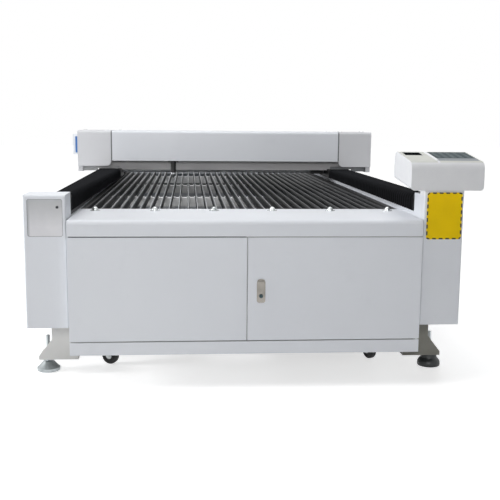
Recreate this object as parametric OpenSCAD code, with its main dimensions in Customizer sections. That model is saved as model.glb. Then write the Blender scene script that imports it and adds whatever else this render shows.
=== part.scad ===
// Flatbed laser cutting machine: sheet-metal cabinet, slatted bed, moving gantry with covers,
// bellows over the side rails, column-mounted control console, levelling feet and casters.
// Frame: origin on the floor under the middle of the machine, +X to the operator's right,
// +Y from the operator's side to the rear, +Z up. Lengths in millimetres.

/* [Cabinet] */
// Length of the cabinet from its front face to its rear face
body_len = 3500; // [3440:10:3640]
// Free strip between the slat bed and the outer edge of the cabinet front
strip_w = 23; // [18:1:40]
// Height of the lower edge of the plinth above the floor
plinth_z = 140; // [130:1:160]
// Height of the plinth
plinth_h = 51; // [45:1:60]
// Seam between neighbouring sheet-metal covers
seam = 4; // [3:0.5:6]
// Height of the two front panels
panel_h = 407; // [380:1:440]
// Height of the front edge of the top apron
apron_h = 63; // [55:1:75]
// Depth of the front apron from the front face to the bed
apron_depth = 417; // [380:1:440]
// Depth of the rear apron
rear_apron_depth = 280; // [240:1:320]
// Radius of the rounded outer edge of both aprons
apron_r = 18; // [10:1:25]
// Sheet thickness of all covers
sheet = 2.5; // [2:0.5:3]
// Depth of the folded flanges of panels and door
flange = 20; // [16:1:25]

/* [Columns] */
// Width of a front column
column_w = 161; // [140:1:180]
// Depth of a front column
column_depth = 145; // [120:1:170]
// Step back of the column face behind the cabinet face
column_setback = 20; // [16:1:25]
// Height of the column's lower edge above the floor
column_z = 246; // [235:1:260]
// Rise of the columns above the apron
column_rise = 94; // [90:1:110]
// Radius of the column's vertical edges
column_r = 7; // [5:1:25]
// Side length of the shallow square field on the left column
field_w = 133; // [100:1:135]

/* [Bed] */
// Number of slats across the bed
slat_count = 32; // [30:1:34]
// Distance from slat to slat
slat_pitch = 41.5; // [40:0.1:43]
// Thickness of a slat
slat_t = 7; // [5:0.5:10]
// Height of a slat
slat_h = 38; // [30:1:42]
// Number of cross beams under the slats
slat_beam_count = 4; // [3:1:5]
// Height of a cross beam
slat_beam_h = 47; // [35:1:60]

/* [Gantry] */
// Distance of the gantry's front face behind the cabinet face
gantry_d = 1852; // [1700:1:1900]
// Depth of the gantry covers
gantry_depth = 300; // [290:1:330]
// Height of the gantry's top above the apron
gantry_rise = 316; // [306:1:330]
// Height of the middle cover's lower edge above the apron
mid_cover_rise = 137.5; // [130:0.5:145]
// Height of the end covers' lower edge above the apron
end_cover_rise = 106; // [100:1:112]
// Width of an end cover
end_cover_w = 196; // [185:1:210]
// Radius of the covers' long front and rear edges
cover_r = 16; // [8:1:25]
// Radius of the end covers' inner lower corner
end_corner_r = 25; // [10:1:30]
// Number of pleats in each bellows
pleat_count = 56; // [40:1:60]
// Depth of a pleat
pleat_depth = 6; // [4:1:8]
// Position of the cutting head left of the middle
head_offset = 318; // [200:1:400]
// Outer diameter of the lens tube
lens_tube_d = 31; // [28:0.5:34]

/* [Console] */
// Width of the control console
console_w = 286; // [260:1:300]
// Depth of the control console
console_depth = 275; // [260:1:300]
// Height of the console at its front
console_h = 108; // [100:1:120]
// Height of the console at its rear
console_back_h = 118; // [110:1:128]

/* [Door] */
// Width of the latch plate
latch_w = 33; // [30:1:38]
// Height of the latch plate
latch_h = 94; // [90:1:104]
// Diameter of the door's pivot pins
door_pin_d = 8; // [6:0.5:9]

/* [Feet and casters] */
// Diameter of a levelling foot
foot_d = 96; // [80:1:110]
// Diameter of a caster wheel
wheel_d = 72; // [66:1:74]
// Width of a caster wheel
wheel_w = 24; // [18:1:26]
// Offset of the wheel axle from the swivel axis
caster_trail = 27; // [20:1:30]

/* [Hidden] */
$fn = 64;

// Running clearance of shafts in their holes, and clearance between sliding neighbours
run_gap = 0.05;
slide_gap = 0.3;

// Heights, from the floor up
panel_z = plinth_z + plinth_h + seam;
apron_z = panel_z + panel_h + seam;
deck_z = apron_z + apron_h;
column_top = deck_z + column_rise;
slat_z = deck_z - 1 - slat_h;

// Widths, from the middle outwards
bed_half_w = slat_count * slat_pitch / 2;
front_half_w = bed_half_w + strip_w;
column_x = front_half_w + 5;
column_out = column_x + column_w;

// Depths: d is measured from the cabinet's front face, py(d) is the same place in the part's frame
console_lead = 30;
spigot_out = 40;
front_y = -(body_len + spigot_out - console_lead) / 2;
function py(d) = front_y + d;
bed_d0 = apron_depth;
bed_d1 = body_len - rear_apron_depth;
side_d0 = column_setback + column_depth;
rear_post_depth = column_depth;
side_d1 = body_len - column_setback - rear_post_depth;

// Base frame tubes
tube = 60;
frame_z = plinth_z + sheet;
frame_top = frame_z + tube;
frame_x = front_half_w - 2 - tube;
front_tube_d = flange;
upper_tube_z = panel_z + panel_h + 3 - tube;
side_beam_x = column_x + 8;
side_beam_w = 100;
side_beam_z = deck_z - 124;
stub_top = slat_z - slat_beam_h - 3;
caster_d = 365;
caster_x = 590;
cross_d = [caster_d - tube / 2, body_len / 2 - tube / 2, body_len - caster_d - tube / 2];

// Side rails, racks and bellows
base_x = bed_half_w + 31;
base_w = 65;
base_h = 18;
base_top = deck_z + base_h;
rail_w = 20;
rail_h = 18;
rail_x = base_x + 17;
bellows_x = front_half_w + 3;
bellows_w = 74;
bellows_out = bellows_x + bellows_w;
bellows_z = base_top + 1;
bellows_top = deck_z + 86;
bellows_wall = 1.5;

// Rack and pinion: module, teeth on the pinion, pitch line and axis
gear_m = 4;
pinion_teeth = 16;
pinion_r = gear_m * pinion_teeth / 2;
rack_pitch = PI * gear_m;
rack_line = base_top + 13;
rack_x = rail_x + 25;
rack_w = 14;
tooth_slack = 0.3;
y_shaft_r = 8;
y_shaft_z = rack_line + pinion_r;
y_shaft_lead = 253;
y_shaft_d = gantry_d + y_shaft_lead;

// Gantry
gantry_half_w = column_out + 29;
gantry_top = deck_z + gantry_rise;
mid_cover_z = deck_z + mid_cover_rise;
end_cover_z = deck_z + end_cover_rise;
end_cover_x = gantry_half_w - end_cover_w;
cover_gap = 7;
truck_d0 = gantry_d + 48;
truck_d1 = gantry_d + gantry_depth - 2;
truck_top = end_cover_z;
truck_deck = bellows_top + 1;
truck_x = bed_half_w - 30;
truck_z = deck_z + 37;
block_z = base_top + 6;
block_h = 25;
block_w = 44;
block_len = 74;
beam_d = gantry_d + 100;
beam_depth = 110;
beam_z = deck_z + 80;
beam_top = deck_z + 192;
beam_wall = 4;
beam_half_w = gantry_half_w - 32;
lip_z = deck_z + 73;

// Cross axis: rail, belt and pulleys on the beam's front face
x_rail_size = 15;
x_rail_z = deck_z + 148;
x_pulley_r = 14;
x_pulley_rise = 215;
x_pulley_z = deck_z + x_pulley_rise;
x_pulley_x = end_cover_x + 14;
x_belt_t = 2;
x_belt_w = 14;
x_belt_d = beam_d - 22;
x_lug_t = 6;
x_lug_d = x_belt_d - 4 - x_lug_t;
x_shaft_r = 4;

// Cutting head
head_x = -head_offset;
head_d = gantry_d + 38;
plate_d = gantry_d + 61;
plate_t = 12;
tube_r = lens_tube_d / 2;
nozzle_tip_z = deck_z + 35;
nozzle_top_z = nozzle_tip_z + 31;
clamp_z = deck_z + 134;
clamp_h = 40;
focus_travel = 20;

// Console: right side at the widest point of the machine
console_x1 = gantry_half_w + 29;
console_x0 = console_x1 - console_w;
console_front_z = deck_z + 118;
console_back_z = deck_z + 146;

// Door and latch
door_x0 = seam / 2;
pivot_x = front_half_w - 9;
pivot_d = 9;
door_flange = flange - 2;
door_pin_r = door_pin_d / 2;
latch_x = 54;
latch_z = panel_z + panel_h / 2 - 6;
latch_box = 14;
latch_proud = 3;
paddle_w = 24;
paddle_h = 56;
paddle_top = latch_z + latch_h / 2 - 8;
button_r = 7.5;
button_z = latch_z - latch_h / 2 + 26;
tongue_z = latch_z - 4;
tongue_h = 16;
tongue_d = 8;
tongue_t = 4;
tongue_throw = 20;

// Feet and casters
foot_x = column_out - 36;
foot_dist = 285;
leg_web_d = 225;
leg_web_t = 10;
leg_plate_z = 60;
leg_plate_t = 17;
stud_r = 8;
caster_plate_z = 100;
caster_plate_t = 5;
wheel_lift = 3;
axle_z = wheel_d / 2 + wheel_lift;
axle_r = 5;
kingpin_r = 6;
caster_turn = [[-20, 118], [35, 160]];

// A box between two corners, with depths measured from the cabinet's front face
module block(x0, d0, z0, x1, d1, z1) {
    translate([x0, py(d0), z0]) cube([x1 - x0, d1 - d0, z1 - z0]);
}

// The shape and its mirror image on the other side of the machine
module both_sides() {
    children();
    mirror([1, 0, 0]) children();
}

// The shape and its mirror image at the other end of the cabinet
module both_ends() {
    children();
    translate([0, 2 * py(0) + body_len, 0]) mirror([0, 1, 0]) children();
}

// A profile given in depth and height, drawn out along X
module along_x(x0, x1) {
    translate([x0, py(0), 0]) rotate([90, 0, 90]) linear_extrude(x1 - x0) children();
}

// A profile given in X and height, drawn out along the depth
module along_d(d0, d1) {
    translate([0, py(d1), 0]) rotate([90, 0, 0]) linear_extrude(d1 - d0) children();
}

// Round bar along the depth, along X, or upright
module bar_d(r, x, z, d0, d1) {
    translate([x, py(d1), z]) rotate([90, 0, 0]) cylinder(r = r, h = d1 - d0);
}
module bar_x(r, d, z, x0, x1) {
    translate([x0, py(d), z]) rotate([0, 90, 0]) cylinder(r = r, h = x1 - x0);
}
module bar_z(r, x, d, z0, z1) {
    translate([x, py(d), z0]) cylinder(r = r, h = z1 - z0);
}

// Points of an arc, and of a rectangle with four corner radii (lower left, then anticlockwise)
function arc(cx, cy, r, a0, a1, steps = 8) =
    [for (i = [0:steps]) let (a = a0 + (a1 - a0) * i / steps) [cx + r * cos(a), cy + r * sin(a)]];
function round_rect(x0, y0, x1, y1, r) = concat(
    arc(x0 + r[0], y0 + r[0], r[0], 180, 270), arc(x1 - r[1], y0 + r[1], r[1], 270, 360),
    arc(x1 - r[2], y1 - r[2], r[2], 0, 90), arc(x0 + r[3], y1 - r[3], r[3], 90, 180));

// Welded frame of square tube: base, uprights, rail beams and caster pads
module base_frame() {
    color("gainsboro") {
        both_sides() {
            block(frame_x, front_tube_d, frame_z, frame_x + tube, body_len - front_tube_d, frame_top);
            block(side_beam_x, side_d0, side_beam_z, side_beam_x + side_beam_w, side_d1, deck_z - sheet);
            for (d = cross_d) {
                block(frame_x, d, frame_top - 1, frame_x + tube, d + tube, stub_top);
                block(frame_x, d, side_beam_z, side_beam_x + 1, d + tube, stub_top);
            }
            both_ends() {
                block(frame_x, front_tube_d, frame_top - 1, frame_x + tube, front_tube_d + tube,
                    deck_z - sheet);
                block(caster_x - tube + 5, caster_d - tube, caster_plate_z + caster_plate_t,
                    caster_x + tube, caster_d + tube, frame_z + 1);
            }
        }
        for (d = cross_d) block(-frame_x - 1, d, frame_z, frame_x + 1, d + tube, frame_top);
        both_ends() {
            block(-frame_x - 1, front_tube_d, frame_z, frame_x + 1, front_tube_d + tube, frame_top);
            block(-frame_x - 1, front_tube_d, upper_tube_z, frame_x + 1, front_tube_d + tube,
                upper_tube_z + tube);
        }
    }
}

// Cross beams under the slats, each with a comb that keeps the slats upright
comb_h = 5;
slat_beam_w = 50;
function slat_place(i) = (i - (slat_count - 1) / 2) * slat_pitch;
module slat_beams() {
    inset = 113;
    step = (bed_d1 - bed_d0 - 2 * inset) / (slat_beam_count - 1);
    half_slot = slat_t / 2 + slide_gap;
    comb = concat([[-side_beam_x, slat_z - slat_beam_h], [side_beam_x, slat_z - slat_beam_h],
        [side_beam_x, slat_z]],
        [for (i = [slat_count - 1:-1:0]) each [
            [slat_place(i) + half_slot + comb_h, slat_z], [slat_place(i) + half_slot + comb_h, slat_z + comb_h],
            [slat_place(i) + half_slot, slat_z + comb_h], [slat_place(i) + half_slot, slat_z],
            [slat_place(i) - half_slot, slat_z], [slat_place(i) - half_slot, slat_z + comb_h],
            [slat_place(i) - half_slot - comb_h, slat_z + comb_h],
            [slat_place(i) - half_slot - comb_h, slat_z]]],
        [[-side_beam_x, slat_z]]);
    color("white") for (k = [0:slat_beam_count - 1]) {
        middle = bed_d0 + inset + k * step;
        along_d(middle - slat_beam_w / 2, middle + slat_beam_w / 2) polygon(comb);
    }
}

// Knife-edge slats of the cutting bed
module slats() {
    edge = 1;
    bevel_h = 12;
    half = slat_t / 2;
    color("darkgray") for (i = [0:slat_count - 1]) along_d(bed_d0 + 1, bed_d1 - 1)
        translate([slat_place(i), slat_z]) polygon([[-half, 0], [half, 0], [half, slat_h - bevel_h],
            [edge, slat_h], [-edge, slat_h], [-half, slat_h - bevel_h]]);
}

// Pan that catches the offcuts, open at the top
tray_h = 40;
tray_lead = 255;
module debris_tray() {
    x1 = frame_x - 15;
    d0 = cross_d[0] + tube + tray_lead;
    d1 = body_len - front_tube_d - tube - 20;
    color("dimgray") difference() {
        block(-x1, d0, frame_top, x1, d1, frame_top + tray_h);
        block(-x1 + sheet, d0 + sheet, frame_top + sheet, x1 - sheet, d1 - sheet, frame_top + tray_h + 1);
    }
}

// Folded top cover with a rounded outer edge, given as depth from its outer face and height
module apron_profile(depth) {
    back_flange = 25;
    r_in = apron_r - sheet;
    polygon(concat([[sheet, apron_z], [0, apron_z]], arc(apron_r, deck_z - apron_r, apron_r, 180, 90),
        [[depth, deck_z], [depth, deck_z - back_flange], [depth - sheet, deck_z - back_flange],
        [depth - sheet, deck_z - sheet]], arc(apron_r, deck_z - apron_r, r_in, 90, 180)));
}
module front_apron() {
    color("whitesmoke") difference() {
        along_x(-front_half_w, front_half_w) apron_profile(apron_depth);
        apron_bolt_places() translate([0, 0, -sheet - 1]) cylinder(r = bolt_r + run_gap, h = sheet + 2);
    }
}
module rear_apron() {
    color("whitesmoke") translate([0, 2 * py(0) + body_len, 0]) mirror([0, 1, 0])
        along_x(-front_half_w, front_half_w) apron_profile(rear_apron_depth);
}

// Dome-head bolts with washers along the bed side of the front apron
// As many as fit between the rail bases
bolt_pitch = 249;
bolt_r = 4;
bolt_inset = 66;
bolt_shift = 5;
washer_r = 21;
bolt_count = 1 + floor(2 * (base_x - washer_r - bolt_shift - 1) / bolt_pitch);
module apron_bolt_places() {
    for (i = [0:bolt_count - 1])
        translate([(i - (bolt_count - 1) / 2) * bolt_pitch + bolt_shift, py(apron_depth - bolt_inset), deck_z])
            children();
}
module apron_bolts() {
    washer_t = 2.5;
    head_r = 12.5;
    head_h = 14;
    color("silver") apron_bolt_places() {
        difference() {
            cylinder(r = washer_r, h = washer_t);
            translate([0, 0, -1]) cylinder(r = bolt_r + run_gap, h = washer_t + 2);
        }
        translate([0, 0, washer_t]) rotate_extrude()
            polygon(concat([[0, -washer_t - 12], [bolt_r, -washer_t - 12], [bolt_r, 0], [head_r, 0]],
                [for (i = [1:5]) [head_r * cos(i * 15), head_h * sin(i * 15)]], [[0, head_h]]));
    }
}

// Folded strip below the front panels, its lower flange under the frame's front tube
module front_plinth() {
    seat = front_tube_d + tube / 2;
    color("whitesmoke") along_x(-front_half_w, front_half_w)
        polygon([[0, plinth_z], [seat, plinth_z], [seat, plinth_z + sheet], [sheet, plinth_z + sheet],
            [sheet, plinth_z + plinth_h], [0, plinth_z + plinth_h]]);
}

// Sheet-metal pan with flanges folded back on all four sides
module pan(x0, x1, z0, z1, depth) {
    difference() {
        block(x0, 0, z0, x1, depth, z1);
        block(x0 + sheet, sheet, z0 + sheet, x1 - sheet, depth + 1, z1 - sheet);
    }
}
// Slot in a pan's edge that the latch tongue passes through
module tongue_slot(x0, x1) {
    room = 2;
    block(x0, tongue_d - room, tongue_z - tongue_h / 2 - room, x1, tongue_d + tongue_t + room,
        tongue_z + tongue_h / 2 + room);
}
module left_front_panel() {
    color("whitesmoke") difference() {
        pan(-front_half_w, -door_x0, panel_z, panel_z + panel_h, flange);
        tongue_slot(-door_x0 - sheet - 1, -door_x0 + 1);
    }
}

// Front column: folded box with rounded vertical edges, closed above, open below
column_top_r = 10;
module column_prism(t) {
    r = max(column_r - t, 1);
    translate([0, py(0), column_z]) linear_extrude(column_top - column_z - t)
        polygon(round_rect(column_x + t, column_setback + t, column_out - t, side_d0 - t, [r, r, r, r]));
}
// The left column, without a console on it, also has a rounded front edge at the top
module round_top(t) {
    intersection() {
        column_prism(t);
        along_x(column_x, column_out) polygon(concat(
            [[side_d0, column_z - 1], [column_setback + t, column_z - 1]],
            arc(column_setback + column_top_r, column_top - column_top_r, column_top_r - t, 180, 90),
            [[side_d0, column_top - t]]));
    }
}
module left_column() {
    field_depth = 1;
    field_top = column_top - 16;
    field_x = -column_out + 16;
    color("whitesmoke") difference() {
        mirror([1, 0, 0]) difference() {
            round_top(0);
            round_top(sheet);
        }
        block(field_x, column_setback - 1, field_top - field_w - 10, field_x + field_w,
            column_setback + field_depth, field_top);
    }
}
module right_column() {
    color("whitesmoke") difference() {
        column_prism(0);
        column_prism(sheet);
    }
}

// Side casing of folded sheet beside the bed, with a post at the rear that carries the bellows
module side_casings() {
    lip = 28;
    inner = front_half_w + 1;
    z0 = column_z;
    color("whitesmoke") both_sides() {
        casing_sheet(inner, lip, z0);
        difference() {
            block(inner, side_d1, deck_z, column_out, side_d1 + rear_post_depth, column_top);
            block(inner + sheet, side_d1 + sheet, deck_z - 1, column_out - sheet,
                side_d1 + rear_post_depth - sheet, column_top - sheet);
        }
    }
}
module casing_sheet(inner, lip, z0) {
    union() {
        along_d(side_d0, body_len - column_setback) polygon([[inner, deck_z], [inner, deck_z - lip],
            [inner + sheet, deck_z - lip], [inner + sheet, deck_z - sheet],
            [column_out - sheet, deck_z - sheet], [column_out - sheet, z0 + sheet],
            [column_x, z0 + sheet], [column_x, z0], [column_out, z0], [column_out, deck_z]]);
        block(bed_half_w, bed_d0 + 1, deck_z - sheet, inner + 1, bed_d1 - 1, deck_z);
        block(bed_half_w, bed_d0 + 1, deck_z - lip, bed_half_w + sheet, bed_d1 - 1, deck_z);
        block(column_x, body_len - column_setback - sheet, z0, column_out, body_len - column_setback,
            deck_z - 1);
    }
}

// Rear panel with two exhaust collars for ducting and a baffle plate in front of them
collar_r = 75;
collar_x = 300;
collar_z = panel_z + panel_h / 2;
module rear_panel() {
    collar_wall = 2;
    rear_z1 = panel_z + panel_h;
    baffle_x = 430;
    baffle_h = 100;
    baffle_gap = 70;
    baffle_d = body_len - baffle_gap;
    color("whitesmoke") union() {
        block(-baffle_x - 15, baffle_d, collar_z - baffle_h, baffle_x + 15, baffle_d + sheet, collar_z + baffle_h);
        both_sides() for (z = [collar_z - baffle_h + 15, collar_z + baffle_h - 15])
            bar_d(6, baffle_x, z, baffle_d + 1, body_len - 1);
        collar_panel(rear_z1, collar_wall);
    }
}
module collar_panel(rear_z1, collar_wall) {
    difference() {
        union() {
            translate([0, 2 * py(0) + body_len, 0]) mirror([0, 1, 0])
                pan(-front_half_w, front_half_w, plinth_z, rear_z1, flange);
            both_sides() bar_d(collar_r, collar_x, collar_z, body_len - sheet, body_len + spigot_out);
        }
        both_sides() bar_d(collar_r - collar_wall, collar_x, collar_z, body_len - flange - 1,
            body_len + spigot_out + 1);
    }
}

// Gusseted leg with a foot plate at each corner
module leg_brackets() {
    x0 = frame_x + tube;
    web_out = foot_x - 25;
    toe_out = foot_x + 29;
    slope_top = 146;
    slope_low = leg_plate_z + leg_plate_t;
    color("lightgray") both_sides() both_ends() difference() {
        union() {
            along_d(leg_web_d, leg_web_d + leg_web_t) polygon([[x0, leg_plate_z], [toe_out, leg_plate_z],
                [toe_out, slope_low], [web_out, slope_top], [web_out, column_z], [x0, column_z]]);
            block(x0, leg_web_d + leg_web_t - 1, leg_plate_z, toe_out, foot_dist + 50,
                leg_plate_z + leg_plate_t);
        }
        bar_z(stud_r + run_gap, foot_x, foot_dist, leg_plate_z - 1, leg_plate_z + leg_plate_t + 1);
    }
}

// Levelling feet: rubber-soled pad, stud and two hexagon nuts each
module levelling_feet() {
    sole_h = 14;
    cup_h = 26;
    nut_h = 13;
    nut_r = 15;
    stud_top = 152;
    pad_r = foot_d / 2;
    color("silver") both_sides() both_ends() translate([foot_x, py(foot_dist), 0]) {
        rotate_extrude() polygon([[0, 0], [pad_r - 2, 0], [pad_r, 2], [pad_r, sole_h], [pad_r - 5, sole_h + 3],
            [22, sole_h + cup_h], [stud_r, sole_h + cup_h + 2], [stud_r, stud_top - 2],
            [stud_r - 2, stud_top], [0, stud_top]]);
        for (z = [leg_plate_z - nut_h, leg_plate_z + leg_plate_t]) translate([0, 0, z]) difference() {
            cylinder(r = nut_r, h = nut_h, $fn = 6);
            translate([0, 0, -1]) cylinder(r = stud_r + run_gap, h = nut_h + 2);
        }
    }
}

// Swivel plates of the casters, with raceway boss and kingpin
boss_h = 6;
crown_h = 9;
crown_z = caster_plate_z - boss_h - slide_gap - crown_h;
module caster_places() {
    both_sides() both_ends() translate([caster_x, py(caster_d), 0]) children();
}
module caster_plates() {
    color("silver") caster_places() union() {
        translate([-50, -42, caster_plate_z]) cube([100, 84, caster_plate_t]);
        translate([0, 0, caster_plate_z - boss_h]) cylinder(r = 24, h = boss_h + 1);
        translate([0, 0, crown_z - 1]) cylinder(r = kingpin_r, h = crown_h + boss_h + 2);
        translate([0, 0, crown_z - slide_gap - 5]) cylinder(r = 10, h = 5);
    }
}

// Painted bars beside the bed that carry the rails and racks
module rail_bases() {
    color("whitesmoke") both_sides() block(base_x, side_d0, deck_z, base_x + base_w, side_d1, base_top);
}

// Linear guide rails of the long axis
module rail_profile(w, h) {
    waist = w * 0.15;
    polygon([[-w / 2, 0], [w / 2, 0], [w / 2, h * 0.35], [w / 2 - waist, h * 0.5], [w / 2 - waist, h * 0.65],
        [w / 2, h * 0.8], [w / 2, h - 1], [w / 2 - 1, h], [1 - w / 2, h], [-w / 2, h - 1], [-w / 2, h * 0.8],
        [waist - w / 2, h * 0.65], [waist - w / 2, h * 0.5], [-w / 2, h * 0.35]]);
}
module y_rails() {
    color("silver") both_sides() along_d(side_d0 + 5, side_d1 - 5) translate([rail_x, base_top])
        rail_profile(rail_w, rail_h);
}

// Toothed racks beside the rails, in mesh with the pinions of the drive shaft
module y_racks() {
    addendum = gear_m;
    dedendum = gear_m * 1.25;
    half = rack_pitch / 4 - tooth_slack / 2;
    tip = half - addendum * tan(20);
    root = half + dedendum * tan(20);
    ahead = floor((y_shaft_d - side_d0 - 20) / rack_pitch);
    behind = floor((side_d1 - 20 - y_shaft_d) / rack_pitch);
    teeth = [for (k = [-ahead:behind - 1]) let (c = y_shaft_d + (k + 0.5) * rack_pitch) each
        [[c - root, rack_line - dedendum], [c - tip, rack_line + addendum],
        [c + tip, rack_line + addendum], [c + root, rack_line - dedendum]]];
    d0 = y_shaft_d - ahead * rack_pitch;
    d1 = y_shaft_d + behind * rack_pitch;
    color("slategray") both_sides() along_x(rack_x, rack_x + rack_w)
        polygon(concat([[d1, base_top], [d0, base_top], [d0, rack_line - dedendum]], teeth,
            [[d1, rack_line - dedendum]]));
}

// Pleated cover over a rail: folds on the top and both sides, open below, wider and higher at the gantry
function zigzag(d0, d1, low, high, lead = 0) = let (n = pleat_count, step = (d1 - d0) / n) concat(
    [for (i = [0:n - 1]) each [[d0 + i * step, high + lead * i / n],
        [d0 + (i + 0.5) * step, low + lead * (i + 0.5) / n]]], [[d1, high + lead]]);
function swap(points) = [for (p = points) [p[1], p[0]]];
function flip(points) = [for (i = [len(points) - 1:-1:0]) points[i]];
// inner and low give the inner side and the lower edge at both ends
module bellows(d0, d1, inner, low) {
    x1 = bellows_out;
    side = zigzag(d0, d1, x1 - pleat_depth, x1);
    other = zigzag(d0, d1, inner[0] + pleat_depth, inner[0], inner[1] - inner[0]);
    room = pleat_depth + bellows_wall;
    color([0.09, 0.09, 0.1]) difference() {
        intersection() {
            along_x(truck_x - 1, x1 + 1) polygon(concat(
                [[d1, low[1]], [d0, low[0]]], zigzag(d0, d1, bellows_top - pleat_depth, bellows_top)));
            translate([0, py(0), bellows_z - 1]) linear_extrude(bellows_top - bellows_z + 2)
                polygon(concat(swap(side), swap(flip(other))));
        }
        translate([0, py(0), bellows_z - 2]) linear_extrude(bellows_top - room - bellows_z + 2)
            polygon([[inner[0] + room, d0 - 1], [x1 - room, d0 - 1], [x1 - room, d1 + 1],
                [inner[1] + room, d1 + 1]]);
    }
}
module front_bellows() bellows(side_d0, truck_d0, [bellows_x, truck_x], [bellows_z, truck_z]);
module rear_bellows() bellows(truck_d1, side_d1, [truck_x, bellows_x], [truck_z, bellows_z]);
module front_bellows_left() mirror([1, 0, 0]) front_bellows();
module front_bellows_right() front_bellows();
module rear_bellows_left() mirror([1, 0, 0]) rear_bellows();
module rear_bellows_right() rear_bellows();

// Control console: a sloping side profile with rounded upper edges, lower edges rounded along the sides,
// two sunk fields and a rib between them on top
console_front_r = 34;
console_rear_r = 36;
console_low_r = 14;
console_tilt = atan((console_back_z + console_back_h - console_front_z - console_h) / console_depth);
console_under_tilt = atan((console_back_z - console_front_z) / console_depth);
field_sink = 3;
display_w = 72;
display_len = 66;
keypad_w = 164;
keypad_len = 190;
keypad_border = 52;
display_x = console_x0 + 15;
display_d = 126;
keypad_x = console_x1 - 7 - keypad_w;
keypad_d = 8;
rib_w = 9;
rib_h = 4;
// Places a shape on the console's sloping top, at a depth along the slope
module on_console(x, d, z) {
    translate([x, py(-console_lead), console_front_z + console_h]) rotate([console_tilt, 0, 0])
        translate([0, d + console_lead, z]) children();
}
// Height of the console's sloping top, before its ends are rounded
function console_top_z(d) = console_front_z + console_h + (d + console_lead) * tan(console_tilt);
// Arc of radius r under the sloping top, centred at depth d
function console_arc(d, r, a0, a1) = arc(d, console_top_z(d) - r / cos(console_tilt), r, a0, a1, 12);
module console_body() {
    rear = console_depth - console_lead;
    crest = 90 + console_tilt;
    room = console_h + console_back_h;
    intersection() {
        along_x(console_x0, console_x1) polygon(concat([[-console_lead, console_front_z - room]],
            console_arc(console_front_r - console_lead, console_front_r, 180, crest),
            console_arc(rear - console_rear_r, console_rear_r, crest, 0), [[rear, console_front_z - room]]));
        translate([0, py(-console_lead), console_front_z]) rotate([console_under_tilt, 0, 0])
            translate([0, console_depth + room, 0]) rotate([90, 0, 0]) linear_extrude(console_depth + 2 * room)
            polygon(round_rect(console_x0, 0, console_x1, room, [console_low_r, console_low_r, 1, 1]));
    }
}
module console_shell() {
    color("whitesmoke") union() {
        difference() {
            console_body();
            on_console(display_x, display_d, -field_sink) cube([display_w, display_len, 10]);
            on_console(keypad_x, keypad_d, -field_sink) cube([keypad_w, keypad_len, 10]);
        }
        on_console(keypad_x - rib_w - 1, keypad_d + keypad_len - 4, 0) rotate([90, 0, 0])
            linear_extrude(keypad_len - 8)
            polygon([[0, -1], [0, 0], [rib_w - 1.5, rib_h], [rib_w, rib_h], [rib_w, -1]]);
    }
}
module console_display() {
    margin = 1;
    glass = 2;
    color([0.05, 0.06, 0.08]) on_console(display_x + margin, display_d + margin, -field_sink)
        cube([display_w - 2 * margin, display_len - 2 * margin, glass]);
}
// Membrane keypad with rows of slightly raised round keys
module console_keypad() {
    margin = 0.5;
    rows = 5;
    columns = 5;
    key_r = 10;
    key_pitch_x = keypad_w / (columns + 0.4);
    key_pitch_d = (keypad_len - keypad_border) / (rows + 0.6);
    color([0.2, 0.22, 0.25]) union() {
        on_console(keypad_x + margin, keypad_d + margin, -field_sink)
            cube([keypad_w - 2 * margin, keypad_len - 2 * margin, field_sink]);
        for (i = [0:columns - 1], j = [0:rows - 1])
            on_console(keypad_x + (i + 0.7) * key_pitch_x,
                keypad_d + keypad_border + (j + 0.8) * key_pitch_d, -1)
                cylinder(r = key_r, h = 2);
    }
}
// Wedge-shaped foot between the column's top and the console's underside, flush with the column's face
module console_bracket() {
    d0 = column_setback;
    d1 = column_setback + 60;
    r = column_r;
    rise = (console_back_z - console_front_z) / console_depth;
    under = console_front_z + console_lead * rise - slide_gap;
    color("whitesmoke") intersection() {
        translate([0, py(0), column_top]) linear_extrude(console_back_z - column_top)
            polygon(round_rect(column_x, d0, column_out, d1, [r, r, 1, 1]));
        along_x(column_x, column_out) polygon([[d0, column_top], [d1, column_top], [d1, under + d1 * rise],
            [d0, under + d0 * rise]]);
    }
}

// Pivot pins of the door, on brackets above and below it
module door_pivots() {
    top_z = panel_z + panel_h;
    arm = 10;
    color("silver") {
        union() {
            block(pivot_x - arm, sheet + 1, upper_tube_z + tube, pivot_x + 6, front_tube_d,
                upper_tube_z + tube + 12);
            bar_z(door_pin_r, pivot_x, pivot_d, top_z - sheet - 3, upper_tube_z + tube + 1);
        }
        union() {
            block(pivot_x - arm, sheet + 1, panel_z - 16, pivot_x + 6, front_tube_d, panel_z - 3);
            bar_z(door_pin_r, pivot_x, pivot_d, panel_z - 4, panel_z + sheet + 6);
        }
    }
}

// Laser source behind the door, with front bezel, two handles, fan ring and fibre outlet
module laser_source() {
    x0 = 110;
    w = 450;
    h = 134;
    d0 = 115;
    depth = 480;
    bezel_t = 4;
    fan_r = 44;
    fan_insets = [110, 215];
    color("dimgray") difference() {
        union() {
            block(x0, d0, frame_top, x0 + w, d0 + depth, frame_top + h);
            block(x0 - 12, d0 - bezel_t, frame_top, x0 + w + 12, d0 + 1, frame_top + h);
            for (x = [x0 + 15, x0 + w - 15]) for (z = [frame_top + 25, frame_top + h - 25])
                bar_d(5, x, z, d0 - 36, d0);
            for (x = [x0 + 15, x0 + w - 15]) bar_z(5, x, d0 - 31, frame_top + 20, frame_top + h - 20);
            bar_d(14, x0 + 90, frame_top + h / 2, d0 + depth - 1, d0 + depth + 25);
        }
        for (inset = fan_insets) let (x = x0 + w - inset) difference() {
            bar_d(fan_r, x, frame_top + h / 2, d0 - bezel_t - 1, d0 + 8);
            bar_d(14, x, frame_top + h / 2, d0 - bezel_t - 2, d0 + 9);
        }
    }
}

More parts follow.
